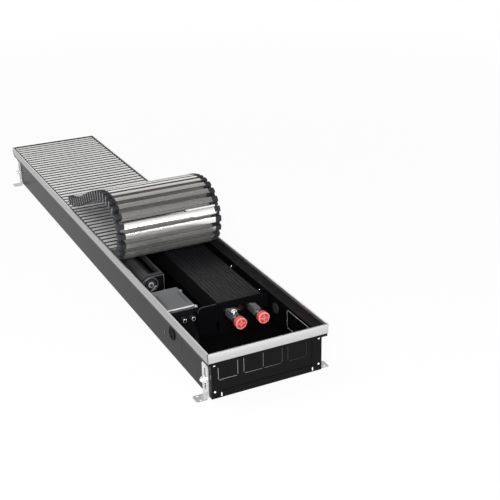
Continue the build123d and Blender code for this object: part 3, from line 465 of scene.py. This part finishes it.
def rims():
    """Edge frame: brushed metal whose long sides are a darker copy, painted shade, and whose long top is a
    lighter copy, painted light; its mitres and far inner face are black, painted shade.
    """
    section = rim_outline()
    upright = 0.72
    for name, half, reach, mats in (("long", LENGTH / 2, WIDTH / 2, (rim_top_painted_light, rim_side_painted_shade, plug_black)),
                                    ("short", WIDTH / 2, LENGTH / 2, (rim_front, rim_front, plug_black))):
        bm = bmesh.new()
        ends = []
        for way in (-1, 1):
            along = [way * (half - MITRE_GAP / 2 - a) for a, _ in section]
            if name == "long":
                ends.append([(reach - a, y, z) for (a, z), y in zip(section, along)])
            else:
                ends.append([(x, reach - a, z) for (a, z), x in zip(section, along)])
        loft(bm, ends)
        mirrored(bm, 0 if name == "long" else 1)
        bmesh.ops.recalc_face_normals(bm, faces=bm.faces)
        for face in bm.faces:
            axis = 0 if name == "long" else 1
            side, end = abs(face.normal[axis]), abs(face.normal[1 - axis])
            inwards = face.normal[axis] * face.calc_center_median()[axis] < 0
            # Painted shade: black on the mitre ends and the short rims' inner faces, the darker copy on
            # the long rims' sides.
            dark = end > 0.5 or name == "short" and side > upright and inwards
            face.material_index = 2 if dark else 1 if side > upright else 0
        piece("rim_" + name, bm, mats, "casing", ["frame_" + name])


def fixings():
    """Rivets and clip tabs on the end flanges, and a small tab on each side wall."""
    bm = bmesh.new()
    for x in (-131.0, 131.0):
        for z in (BOTTOM_Z + 17.0, TOP_Z - 36.5):
            head = [(2.6, -WALL_Y), (2.6, -WALL_Y - 0.4), (2.2, -WALL_Y - 0.9), (1.2, -WALL_Y - 1.2)]
            turned(bm, head, "y", (x, z), sides=20)
    for x in (-115.0, 115.0):
        brick(bm, x - 1.5, x + 1.5, -WALL_Y - 1.0, -WALL_Y + 0.3, BOTTOM_Z + 3.5, BOTTOM_Z + 12.5, 0.4)
    mirrored(bm, 1)
    for side in (-1, 1):
        x0, x1 = sorted((side * (WALL_X - 0.1), side * (WALL_X + 0.8)))
        brick(bm, x0, x1, TAB_Y - 1.3, TAB_Y + 1.3, TAB_Z - 4.5, TAB_Z + 4.5, 0.3)
    second_material(bm, lambda face: abs(face.calc_center_median().y) < WALL_Y - 10)
    piece("end_fixings", bm, (bright_steel, tab_grey), "casing", ["casing_rivets"])


CUT_GAP, CUT_HALF = 2.6, 0.8            # uncut corner, and half the width that a cut shows


def cut_strips(size):
    """(u0, u1, v0, v1) of the cuts below, above, left and right of a knock-out of a given size."""
    width, height = size
    gap, half = CUT_GAP, CUT_HALF
    return ((gap, width - gap, -half, half), (gap, width - gap, height - half, height + half),
            (-half, half, gap, height - gap), (width - half, width + half, gap, height - gap))


def end_cuts():
    """The cuts of the knock-outs in the end plates, drawn as light lines of painted highlight."""
    bm = bmesh.new()
    low = KNOCKOUT_LOW
    y0, y1 = -WALL_Y + SHEET + 0.3, -WALL_Y + 2 * SHEET - 0.3
    for x in KNOCKOUTS_X:
        for u0, u1, v0, v1 in cut_strips(KNOCKOUT_SIZE):
            if x != SHARED_CUT_X or u0 != -CUT_HALF:
                brick(bm, x + u0, x + u1, y0, y1, low + v0, low + v1, 0.2)
    # The flange hides the first knock-out's left part, which is drawn on the flange's face.
    front, flange_edge, top = -WALL_Y - 0.04, FLANGE_SIDE - WALL_X, low + KNOCKOUT_SIZE[1]
    left = KNOCKOUTS_X[0] - CUT_HALF
    brick(bm, left, left + 1.4, front, front + 0.3, low + CUT_GAP, top - 10.0, 0.1)
    brick(bm, left + 3.3, flange_edge, front, front + 0.3, low - CUT_HALF, low + CUT_HALF, 0.1)
    mirrored(bm, 1)
    piece("cut_edges", bm, cut_painted_highlight, "casing")


def wall_cuts():
    """The cuts of the side knock-outs: bright from inside the tray, painted light as if light came through
    the slits, and dull from outside.
    """
    low = SIDE_KNOCKOUT_LOW
    for name, x0, x1, mat in (("inner", WALL_X - SHEET + 0.1, WALL_X - 0.7, cut_painted_light),
                              ("outer", WALL_X - 0.7, WALL_X - 0.3, fold_steel)):
        bm = bmesh.new()
        for v0, v1, u0, u1 in cut_strips(SIDE_KNOCKOUT_SIZE):
            brick(bm, x0, x1, SIDE_KNOCKOUT_Y + v0, SIDE_KNOCKOUT_Y + v1, low + u0, low + u1, 0.15)
        mirrored(bm, 0)
        piece("wall_cuts_" + name, bm, mat, "casing")


def plugs():
    """Rubber blanking plugs in both side walls."""
    bm = bmesh.new()
    inner = WALL_X - SHEET - 1.5
    outer = WALL_X + 2.2
    turned(bm, [(13.9, inner), (13.9, WALL_X), (17.0, WALL_X), (17.0, outer - 0.7), (16.3, outer),
                (11.6, outer), (11.0, outer - 0.5), (10.8, outer - 1.4), (4.0, outer - 1.4)],
           "x", (PLUG_Y, PLUG_Z))
    mirrored(bm, 0)
    second_material(bm, lambda face: abs(face.calc_center_median().x) < WALL_X - SHEET)
    piece("wall_plugs", bm, (plug_black, plug_inside), "casing", ["blanking_plugs"])


# ---------------------------------------------------------------- feet
def stadium(half, low, high, steps=9):
    """(u, v) slot with round ends."""
    turns = [pi * i / steps for i in range(steps + 1)]
    top = [(half * cos(a), high - half + half * sin(a)) for a in turns]
    base = [(-half * cos(a), low + half - half * sin(a)) for a in turns]
    return top + base


def foot(side, end):
    """A slotted angle: upright leg, round bend and the pad with its two holes."""
    bm = bmesh.new()
    outer = FOOT_X + FOOT_SHEET
    edge = outer + FOOT_PAD
    y0, y1 = FOOT_Y - 15, FOOT_Y + 15
    bend = 3.0
    upright = [(y0, bend + FOOT_SHEET), (y1, bend + FOOT_SHEET), (y1, FOOT_TOP - 6), (y1 - 6, FOOT_TOP),
               (y0 + 6, FOOT_TOP), (y0, FOOT_TOP - 6)]
    slot = [(FOOT_Y + u, v) for u, v in stadium(4.3, 21.0, 77.0)]
    plate(bm, upright, [slot], "x", FOOT_X, outer)
    hole_x = outer + 0.6 * FOOT_PAD
    holes = [[(hole_x + u, FOOT_Y + step + v) for u, v in circle(3.3, 24)] for step in (-9, 9)]
    pad = [(outer + bend, y0), (edge - 4, y0), (edge, y0 + 4), (edge, y1 - 4), (edge - 4, y1),
           (outer + bend, y1)]
    plate(bm, pad, holes, "z", 0.0, FOOT_SHEET)
    arc = []
    bend_x, bend_z = outer + bend, bend + FOOT_SHEET
    for radius, angles in ((bend, range(180, 271, 15)), (bend + FOOT_SHEET, range(270, 179, -15))):
        arc += [(bend_x + radius * cos(radians(a)), bend_z + radius * sin(radians(a))) for a in angles]
    solid(bm, arc, "y", y0, y1)
    for v in bm.verts:
        v.co.x *= side
        v.co.y *= end
    return bm


def feet():
    for name, side, end in (("rear_right", 1, 1), ("rear_left", -1, 1),
                            ("front_right", 1, -1), ("front_left", -1, -1)):
        body = "foot_" + name
        piece(body + "_angle", foot(side, end), zinc, body, [body])


def foot_bolts():
    """Hexagon head, shank, washer and nut of each foot's bolt."""
    bm = bmesh.new()
    inner = WALL_X - SHEET
    washer = FOOT_X + FOOT_SHEET + 0.3
    nut = washer + 1.6
    where = (FOOT_Y, BOLT_Z)
    solid(bm, hexagon(13.0), "x", inner - 5.3, inner, where, 0.5)
    turned(bm, [(3.9, inner), (3.9, nut + 9.0), (3.3, nut + 9.5)], "x", where, sides=24)
    turned(bm, [(9.0, washer), (9.0, nut - 0.3), (8.6, nut)], "x", where, sides=40)
    solid(bm, hexagon(13.0), "x", nut, nut + 6.5, where, 0.7)
    mirrored(bm, 0)
    mirrored(bm, 1)
    piece("foot_fasteners", bm, bright_steel, "casing", ["foot_bolts"])


# ---------------------------------------------------------------- coil
def fins():
    """The pack: ridged along its length, with a groove between one bundle of fins and the next."""
    ridges, per = 12, 8
    step = (COIL_X1 - COIL_X0) / ridges

    def section(depth):
        top = []
        for i in range(ridges * per + 1):
            x = COIL_X0 + step * i / per
            wave = 0.5 - 0.5 * cos(2 * pi * i / per)
            top.append((x, COIL_Z1 - 3.0 - depth + 3.0 * wave ** 0.7))
        return top + [(COIL_X1, COIL_Z0 + depth), (COIL_X0, COIL_Z0 + depth)]

    bm = bmesh.new()
    rings = []
    pitch, fin = 12.0, 11.0
    count = int((COIL_Y1 - COIL_Y0) / pitch)
    for i in range(count):
        y = COIL_Y0 + i * pitch
        rings += [placed(section(0.0), "y", y), placed(section(0.0), "y", y + fin),
                  placed(section(0.25), "y", y + fin + 0.2), placed(section(0.25), "y", y + pitch - 0.2)]
    rings.append(placed(section(0.0), "y", COIL_Y1))
    loft(bm, rings)
    piece("fin_stack", bm, fin_black, "casing", ["fin_pack"])


def tubes():
    """Round tubes with return bends, drawn along one path."""
    gap = (UNIONS_X[1] - UNIONS_X[0]) / 3
    xs = [UNIONS_X[0] + i * gap for i in range(4)]
    near, far = COIL_Y0 - 5.5, COIL_Y1 + 5.5
    path = [(xs[0], UNION_Y), (xs[0], far)]

    def bend(x, y, way):
        return [(x + gap / 2 - gap / 2 * cos(radians(a)), y + way * gap / 2 * sin(radians(a)))
                for a in range(20, 161, 20)]

    path += bend(xs[0], far, 1) + [(xs[1], far), (xs[1], near)]
    path += bend(xs[1], near, -1) + [(xs[2], near), (xs[2], far)]
    path += bend(xs[2], far, 1) + [(xs[3], far), (xs[3], UNION_Y)]
    rings = []
    for i, point in enumerate(path):
        here = Vector(point)
        before = Vector(path[max(0, i - 1)])
        after = Vector(path[min(len(path) - 1, i + 1)])
        along = (after - before).normalized()
        across = Vector((along.y, -along.x))
        rings.append([(here.x + across.x * u, here.y + across.y * u, TUBE_Z + v)
                      for u, v in circle(TUBE_RADIUS, 20)])
    bm = bmesh.new()
    loft(bm, rings)
    piece("copper_tubes", bm, copper, "casing", ["water_tubes"])


def unions():
    """Hexagon, collar and grooved spigot of each water connection."""
    bm = bmesh.new()
    for x in UNIONS_X:
        where = (x, UNION_Z)
        back, front = UNION_Y - 10, HEX_Y
        turned(bm, [(8.0, UNION_Y), (9.0, UNION_Y - 1), (9.0, back)], "y", where)
        solid(bm, hexagon(24.0), "y", front, back, where, 1.2)
        turned(bm, [(12.5, front), (12.5, front - 6.5), (11.8, front - 8)], "y", where)
        collar = front - 8
        grooves = [(10.0, collar)]
        for i in range(3):
            y = collar - 3 - 2.4 * i
            grooves += [(10.0, y), (9.2, y - 0.6), (9.2, y - 1.2), (10.0, y - 1.8)]
        grooves += [(10.0, CAP_Y0 + 5.6), (9.4, CAP_Y0 + 5), (6.0, CAP_Y0 + 5), (6.0, collar)]
        turned(bm, grooves, "y", where, closed=True)
    piece("pipe_unions", bm, nickel, "casing", ["connection_unions"])


def cap_painted_highlight(face, x):
    """The cap's outer lip, and the cross inside it, which carry a painted highlight."""
    middle = face.calc_center_median()
    out = sqrt((middle.x - x) ** 2 + (middle.z - UNION_Z) ** 2)
    return out > 11.0 or CAP_Y0 + 0.3 < middle.y < CAP_Y0 + 1.1


def cap(name, x):
    """Red cap: a round-edged cup whose sunk face carries a cross and a small ring."""
    where = (x, UNION_Z)
    y0, y1, outer, floor = CAP_Y0, CAP_Y1, 15.0, CAP_Y0 + 3.0
    bm = bmesh.new()
    turned(bm, [(10.4, y1), (14.2, y1), (15.0, y1 - 0.8), (15.0, y0 + 1.6), (14.5, y0 + 0.5), (13.4, y0),
                (11.4, y0), (10.6, y0 + 0.5), (10.4, floor), (10.4, y0 + 4.4)], "y", where, closed=True)
    turned(bm, [(10.6, floor + 1.4), (10.6, floor)], "y", where)
    arm = 1.2
    for u0, u1, v0, v1 in ((-arm, arm, -10.6, 10.6), (-10.6, 10.6, -arm, arm)):
        brick(bm, x + u0, x + u1, y0 + 0.5, floor + 0.5, UNION_Z + v0, UNION_Z + v1, 0.3)
    ring = [(5.6, floor + 0.2), (5.6, y0 + 1.0), (5.2, y0 + 0.7), (4.4, y0 + 0.7), (4.2, y0 + 1.0),
            (4.2, floor + 0.2)]
    turned(bm, ring, "y", where, closed=True, sides=32)
    # Painted highlight: the lip and the cross in pale pink.
    second_material(bm, lambda face: face.normal.y < -0.25 and cap_painted_highlight(face, x))
    ribs = 24
    for i in range(ribs):
        a = 2 * pi * i / ribs
        u, v = (outer - 0.35) * cos(a), (outer - 0.35) * sin(a)
        solid(bm, circle(0.35, 6), "y", y0 + 2.2, y1 - 1.4, (x + u, UNION_Z + v))
    piece(name + "_cup", bm, (red_plastic, red_rim_painted_highlight), name, [name])


def vent():
    """Chrome air vent on the left union, and its slotted screw."""
    where = (UNIONS_X[0], VENT_Y)
    z = VENT_Z
    bm = bmesh.new()
    turned(bm, [(7.6, z), (8.0, z + 0.4), (8.0, z + 2.8), (7.4, z + 3.5), (5.4, z + 3.7), (5.4, z + 6.0),
                (5.0, z + 6.4), (3.2, z + 6.4), (3.1, z + 3.2)], "z", where)
    piece("vent_collar", bm, chrome, "casing", ["vent_body"])
    bm = bmesh.new()
    turned(bm, [(3.0, z + 3.3), (3.0, z + 6.3), (2.7, z + 6.6)], "z", where, sides=32)
    for side in (-1, 1):
        half_disc = [(2.7 * cos(radians(a)), 2.7 * sin(radians(a))) for a in range(12, 169, 12)]
        solid(bm, [(u, side * v) for u, v in half_disc], "z", z + 6.5, z + 6.8, where)
    piece("vent_pin", bm, chrome, "vent_screw", ["vent_screw"])


# ---------------------------------------------------------------- fan
def scroll(depth, steps=14):
    """(x, z) outline of the fan housing, drawn in by depth."""
    x0, x1, top, low = FAN_X0 + depth, FAN_X1 - depth, FAN_TOP - depth, FAN_LOW + depth
    r = 24.0 - depth
    high = [(x0 + r - r * sin(radians(90 * i / steps)), top - r + r * cos(radians(90 * i / steps)))
            for i in range(steps + 1)]
    base = [(x0 + r - r * cos(radians(90 * i / steps)), low + r - r * sin(radians(90 * i / steps)))
            for i in range(steps + 1)]
    return [(x1, low), (x1, top)] + high + base


def fan_rotor():
    """Shaft, two end rings and curved blades."""
    bm = bmesh.new()
    y0, y1 = FAN_Y0 + 8, 458.0
    turned(bm, [(3.6, FAN_Y0 - 6), (4.0, FAN_Y0 - 5.6), (4.0, 476.0)], "y", FAN_AXIS, sides=28)
    for y in (y0, y1 - 2):
        turned(bm, [(21.0, y), (21.5, y + 0.4), (21.5, y + 1.6), (21.0, y + 2)], "y", FAN_AXIS)
    blades = 24
    for i in range(blades):
        outer, inner = [], []
        for s in range(5):
            radius = 14.0 + 7.0 * s / 4
            a = radians(360 * i / blades + 15.0 * (s / 4) ** 1.5)
            outer.append((radius * cos(a), radius * sin(a)))
            inner.append((radius * cos(a + 0.04), radius * sin(a + 0.04)))
        solid(bm, outer + inner[::-1], "y", y0 + 1, y1 - 1, FAN_AXIS)
    piece("rotor_blades", bm, rotor_metal, "fan_rotor", ["fan_rotor"])


def fan_front():
    """Ring, light edges as a painted highlight, and tie bar on the fan's front plate, and a cover round
    its bearing.
    """
    bm = bmesh.new()
    y = FAN_Y0 - 0.2
    ring = [(20.5, y + 0.2), (20.5, y - 1.4), (19.6, y - 2.0), (18.0, y - 2.0), (17.4, y - 1.4),
            (17.4, y + 0.2)]
    turned(bm, ring, "y", FAN_AXIS, closed=True)
    piece("fan_front_ring", bm, fan_ring, "casing")
    bm = bmesh.new()
    # Painted highlight: a lighter frame round the front plate and along the housing's top edge.
    plate(bm, scroll(-0.1), [scroll(1.3)], "y", FAN_Y0 - 6.2, FAN_Y0 - 5.4)
    brick(bm, FAN_X1 - 0.9, FAN_X1 + 0.1, FAN_Y0, FAN_Y1, FAN_TOP - 0.9, FAN_TOP + 0.1, 0.2)
    piece("fan_front_frame", bm, fan_edge_painted_highlight, "casing")
    bm = bmesh.new()
    a, b, half = (-89.0, 54.0), (-73.0, 67.0), 1.5
    along = Vector((b[0] - a[0], b[1] - a[1])).normalized()
    across = Vector((-along.y, along.x)) * half
    bar = [(a[0] + across.x, a[1] + across.y), (a[0] - across.x, a[1] - across.y),
           (b[0] - across.x, b[1] - across.y), (b[0] + across.x, b[1] + across.y)]
    solid(bm, rounded(bar, 0.6, 2), "y", y - 4.4, y - 2.0, bevel=0.3)
    piece("fan_tie_bar", bm, bright_steel, "casing")
    bm = bmesh.new()
    cover = [(14.0, 1.5), (14.0, 0.0), (8.4, 0.0), (8.0, -0.4), (8.0, -2.2), (7.6, -2.5), (4.15, -2.5),
             (4.15, 1.5)]
    turned(bm, [(r, FAN_Y0 + step) for r, step in cover], "y", FAN_AXIS, closed=True)
    second_material(bm, lambda face: face.normal.y < -0.3 and face.calc_center_median().y < FAN_Y0 - 2)
    piece("bearing_cushion", bm, (rubber, zinc), "casing", ["fan_bearing"])


# ---------------------------------------------------------------- junction box
def lid():
    """Lid with a rounded rim whose front carries a painted highlight, two pressed grooves drawn as dark
    strips of painted shade, and its ears.
    """
    grow, low, top = 1.8, LID_TOP - 9.0, LID_TOP
    x0, x1, y0, y1 = BOX_X0 - grow, BOX_X1 + grow, BOX_Y0 - grow, BOX_Y1 + grow
    outline = rounded(rectangle(x0, x1, y0, y1), 6.0, 6)
    hollow = rounded(rectangle(x0 + 1.5, x1 - 1.5, y0 + 1.5, y1 - 1.5), 5.0, 6)
    rings = [placed(hollow, "z", top - 1.5), placed(hollow, "z", low)]
    rings.append(placed(outline, "z", low))
    radius = 3.0
    for a in range(0, 91, 15):
        shrunk = inset(outline, radius - radius * cos(radians(a)))
        rings.append(placed(shrunk, "z", top - radius + radius * sin(radians(a))))
    bm = bmesh.new()
    loft(bm, rings)
    for y in (BOX_Y0 + 7, BOX_Y1 - 7):
        brick(bm, x1 - 1.0, x1 + 8.9, y - 5, y + 5, low - 1.6, low + 0.4, 0.8)
    # Painted highlight: the rounded front edge in near white.
    second_material(bm, lambda face: face.normal.y < -0.3 and face.normal.z > 0.25)
    piece("box_cover", bm, (lid_plastic, lid_edge_painted_highlight), "box_lid", ["box_lid"])
    bm = bmesh.new()
    # Painted shade: dark strips where the grooves are pressed, with no hollow under them.
    for x in (BOX_X0 + 13, BOX_X1 - 9):
        brick(bm, x - 0.9, x + 0.9, BOX_Y0 + 18, BOX_Y1 - 25, top - 0.5, top + 0.02, 0.3)
    piece("box_cover_groove_shade", bm, dark_sheet, "box_lid")
    bm = bmesh.new()
    for y in (BOX_Y0 + 7, BOX_Y1 - 7):
        where = (BOX_X1 + 1.8 + 4.5, y)
        head = LID_TOP - 8.7
        screw = [(1.7, -10.3), (1.7, 0.0), (3.6, 0.0), (3.6, 1.3), (3.0, 2.1), (1.0, 2.3)]
        turned(bm, [(r, head + step) for r, step in screw], "z", where, sides=24)
        brick(bm, where[0] - 2.6, where[0] + 2.6, y - 0.45, y + 0.45, head + 1.9, head + 2.32, 0.1)
    piece("cover_screws", bm, bright_steel, "box_lid")


def glands():
    """Cable glands: a hexagon and a clamping nut whose bright rim is a painted highlight."""
    bm = bmesh.new()
    y = BOX_Y0
    for x in GLANDS_X:
        where = (x, GLAND_Z)
        turned(bm, [(5.4, y + 6), (5.4, y), (3.7, y), (3.7, y + 6)], "y", where, closed=True, sides=32)
        solid(bm, hexagon(15.0), "y", y - 6, y, where, 0.8)
        collar = [(6.4, 6), (6.4, 12), (5.6, 14.2), (4.6, 15), (3.7, 15), (3.7, 6)]
        turned(bm, [(r, y - step) for r, step in collar], "y", where, closed=True, sides=32)
    # Painted highlight: the nut's front end in bright steel.
    second_material(bm, lambda face: face.calc_center_median().y < y - 14)
    piece("gland_nuts", bm, (gland_plastic, bright_steel), "casing", ["cable_glands"])


def clip_studs():
    """Bright heads of the screws that hold the pack's clips."""
    bm = bmesh.new()
    x, z = (COIL_X1 + WALL_X) / 2, COIL_Z1 - 5.6
    for y in CLIPS_Y:
        head = [(2.4, z), (2.4, z + 1.8), (1.9, z + 2.6), (0.8, z + 2.9)]
        turned(bm, head, "z", (x, y), sides=20)
    piece("clip_screw_heads", bm, chrome, "casing")


def partition_edge_highlight():
    """A painted highlight along the partition's upper edge, round its corner."""
    x0, x1, y, top, radius = BOX_X1 + 5, COIL_X0 - 3, COIL_Y0 + 10, COIL_Z1 - 6, 14.0
    outer, inner = [], []
    for a in range(0, 91, 10):
        for ring, r in ((outer, radius + 0.25), (inner, radius - 0.6)):
            ring.append((x0 + radius - r * cos(radians(a)), top - radius + r * sin(radians(a))))
    bm = bmesh.new()
    solid(bm, outer + [(x1, top + 0.25), (x1, top - 0.6)] + inner[::-1], "y", y - 0.15, y + SHEET + 0.15)
    piece("partition_rim_highlight", bm, sheet_edge_painted_highlight, "casing")


# ---------------------------------------------------------------- carried-over nodes
def finish_nodes():
    for node, mat in (
            ("trough_floor", paint), ("trough_walls", paint), ("trough_ledges", ledge_paint),
            ("end_plates", paint),
            ("coil_end_plates", dark_sheet), ("coil_clips", dark_sheet),
            ("fan_housing", fan_sheet), ("fan_end_plates", dark_sheet), ("fan_motor", motor_can),
            ("junction_box", box_plastic), ("terminal_block", terminal_plastic),
            ("partition_plate", dark_sheet)):
        paint_node(node, mat)


# ---------------------------------------------------------------- studio
FLOOR_HALF = 9.0
PHOTO_PIXELS = 500


def ray_switch(nodes, links, kinds):
    """1 for the kinds of ray that show the background, else 0."""
    path = nodes.new("ShaderNodeLightPath")
    total = path.outputs[kinds[0]]
    for kind in kinds[1:]:
        add = nodes.new("ShaderNodeMath")
        add.operation = "MAXIMUM"
        links.new(total, add.inputs[0])
        links.new(path.outputs[kind], add.inputs[1])
        total = add.outputs[0]
    return total


def studio_floor():
    """Pale floor that keeps the object's shadow near by and fades to plain white further out."""
    mesh = bpy.data.meshes.new("studio_floor")
    corners = [(x, y, 0) for x, y in rectangle(-FLOOR_HALF, FLOOR_HALF, -FLOOR_HALF, FLOOR_HALF)]
    mesh.from_pydata(corners, [], [(0, 1, 2, 3)])
    obj = bpy.data.objects.new("studio_floor", mesh)
    bpy.context.scene.collection.objects.link(obj)
    mat = bpy.data.materials.new("studio_floor")
    mat.use_nodes = True
    nodes, links = mat.node_tree.nodes, mat.node_tree.links
    bsdf = nodes["Principled BSDF"]
    bsdf.inputs["Base Color"].default_value = (0.9, 0.9, 0.9, 1)
    bsdf.inputs["Roughness"].default_value = 0.8
    white = nodes.new("ShaderNodeEmission")
    where = nodes.new("ShaderNodeTexCoord")
    away = nodes.new("ShaderNodeVectorMath")
    away.operation = "LENGTH"
    links.new(where.outputs["Object"], away.inputs[0])
    fade = nodes.new("ShaderNodeMapRange")
    fade.inputs["From Min"].default_value = 1.0
    fade.inputs["From Max"].default_value = 4.0
    fade.inputs["To Min"].default_value = 0.93
    fade.inputs["To Max"].default_value = 1.0
    links.new(away.outputs["Value"], fade.inputs["Value"])
    shown = ray_switch(nodes, links, ("Is Camera Ray", "Is Glossy Ray", "Is Transmission Ray"))
    factor = nodes.new("ShaderNodeMath")
    factor.operation = "MULTIPLY"
    links.new(fade.outputs["Result"], factor.inputs[0])
    links.new(shown, factor.inputs[1])
    mix = nodes.new("ShaderNodeMixShader")
    links.new(factor.outputs[0], mix.inputs["Fac"])
    links.new(bsdf.outputs["BSDF"], mix.inputs[1])
    links.new(white.outputs["Emission"], mix.inputs[2])
    links.new(mix.outputs["Shader"], nodes["Material Output"].inputs["Surface"])
    mesh.materials.append(mat)


def studio_world():
    """A room that every ray sees alike: white round the horizon, dark above the front."""
    world = bpy.data.worlds.new("studio")
    bpy.context.scene.world = world
    world.use_nodes = True
    nodes, links = world.node_tree.nodes, world.node_tree.links
    where = nodes.new("ShaderNodeTexCoord")
    split = nodes.new("ShaderNodeSeparateXYZ")
    links.new(where.outputs["Generated"], split.inputs[0])
    front = nodes.new("ShaderNodeMath")
    front.operation = "MULTIPLY"
    front.inputs[1].default_value = -1.0
    links.new(split.outputs["Y"], front.inputs[0])
    angle = nodes.new("ShaderNodeMath")          # 0 at the front's horizon, pi at the back's
    angle.operation = "ARCTAN2"
    links.new(split.outputs["Z"], angle.inputs[0])
    links.new(front.outputs[0], angle.inputs[1])
    turn = nodes.new("ShaderNodeMapRange")
    turn.inputs["From Max"].default_value = pi
    links.new(angle.outputs[0], turn.inputs["Value"])
    dome = nodes.new("ShaderNodeValToRGB")
    ramp = dome.color_ramp
    ramp.elements[0].color = (0.92, 0.92, 0.92, 1)
    ramp.elements[1].color = (0.98, 0.98, 0.98, 1)
    for degrees, value in ((20, 0.92), (31, 0.35), (38, 0.03), (70, 0.03), (100, 0.13), (136, 0.42),
                           (158, 0.8)):
        element = ramp.elements.new(degrees / 180)
        element.color = (value, value * 0.985, value * 0.97, 1)
    links.new(turn.outputs["Result"], dome.inputs["Fac"])
    low = nodes.new("ShaderNodeMapRange")
    for socket, value in (("From Min", 0.27), ("From Max", 0.36), ("To Min", 1.0), ("To Max", 0.0)):
        low.inputs[socket].default_value = value
    links.new(split.outputs["Z"], low.inputs["Value"])
    room = nodes.new("ShaderNodeMixRGB")
    room.inputs["Color2"].default_value = (1, 1, 1, 1)
    links.new(low.outputs["Result"], room.inputs["Fac"])
    links.new(dome.outputs["Color"], room.inputs["Color1"])
    links.new(room.outputs["Color"], nodes["Background"].inputs["Color"])
    nodes["Background"].inputs["Strength"].default_value = 1.0


def lamp(name, place, target, size, power):
    data = bpy.data.lights.new(name, "AREA")
    data.shape = "RECTANGLE"
    data.size, data.size_y = size
    data.energy = power
    obj = bpy.data.objects.new(name, data)
    bpy.context.scene.collection.objects.link(obj)
    look = Vector(target) - Vector(place)
    obj.matrix_world = Matrix.Translation(place) @ look.to_track_quat("-Z", "Y").to_matrix().to_4x4()
    return obj


def camera():
    """Stands where the photograph was taken from."""
    azimuth, elevation, roll = radians(-26.051), radians(23.394), radians(-1.181)
    focal, place = 974.91, Vector((-864.77, -2529.51, 1160.71)) * MM
    back = Vector((sin(azimuth) * cos(elevation), -cos(azimuth) * cos(elevation), sin(elevation)))
    right = (-back).cross(Vector((0, 0, 1))).normalized()
    up = right.cross(-back)
    x = cos(roll) * right + sin(roll) * up
    y = -sin(roll) * right + cos(roll) * up
    data = bpy.data.cameras.new("camera")
    data.sensor_width = 36.0
    data.lens = focal / PHOTO_PIXELS * data.sensor_width
    data.clip_end = 50
    obj = bpy.data.objects.new("camera", data)
    bpy.context.scene.collection.objects.link(obj)
    turn = Matrix((x, y, back)).transposed().to_4x4()
    obj.matrix_world = Matrix.Translation(place) @ turn
    bpy.context.scene.camera = obj


def build():
    flat_grille()
    rolled_grille()
    rims()
    fixings()
    end_cuts()
    wall_cuts()
    plugs()
    feet()
    foot_bolts()
    fins()
    tubes()
    unions()
    cap("cap_left", UNIONS_X[0])
    cap("cap_right", UNIONS_X[1])
    vent()
    fan_rotor()
    fan_front()
    lid()
    glands()
    partition_edge_highlight()
    clip_studs()
    finish_nodes()


def studio():
    studio_floor()
    studio_world()
    lamp("key", (-1.3, -3.5, 2.0), (0, -0.2, 0.1), (2.0, 1.4), 125)
    lamp("low", (0.3, -3.3, 0.4), (0, 0, 0.2), (2.4, 0.5), 36)
    lamp("top", (-1.5, 0.3, 2.9), (0, 0, 0.1), (1.6, 2.6), 40)
    camera()
    bpy.context.scene.view_settings.view_transform = "Standard"


build()
studio()
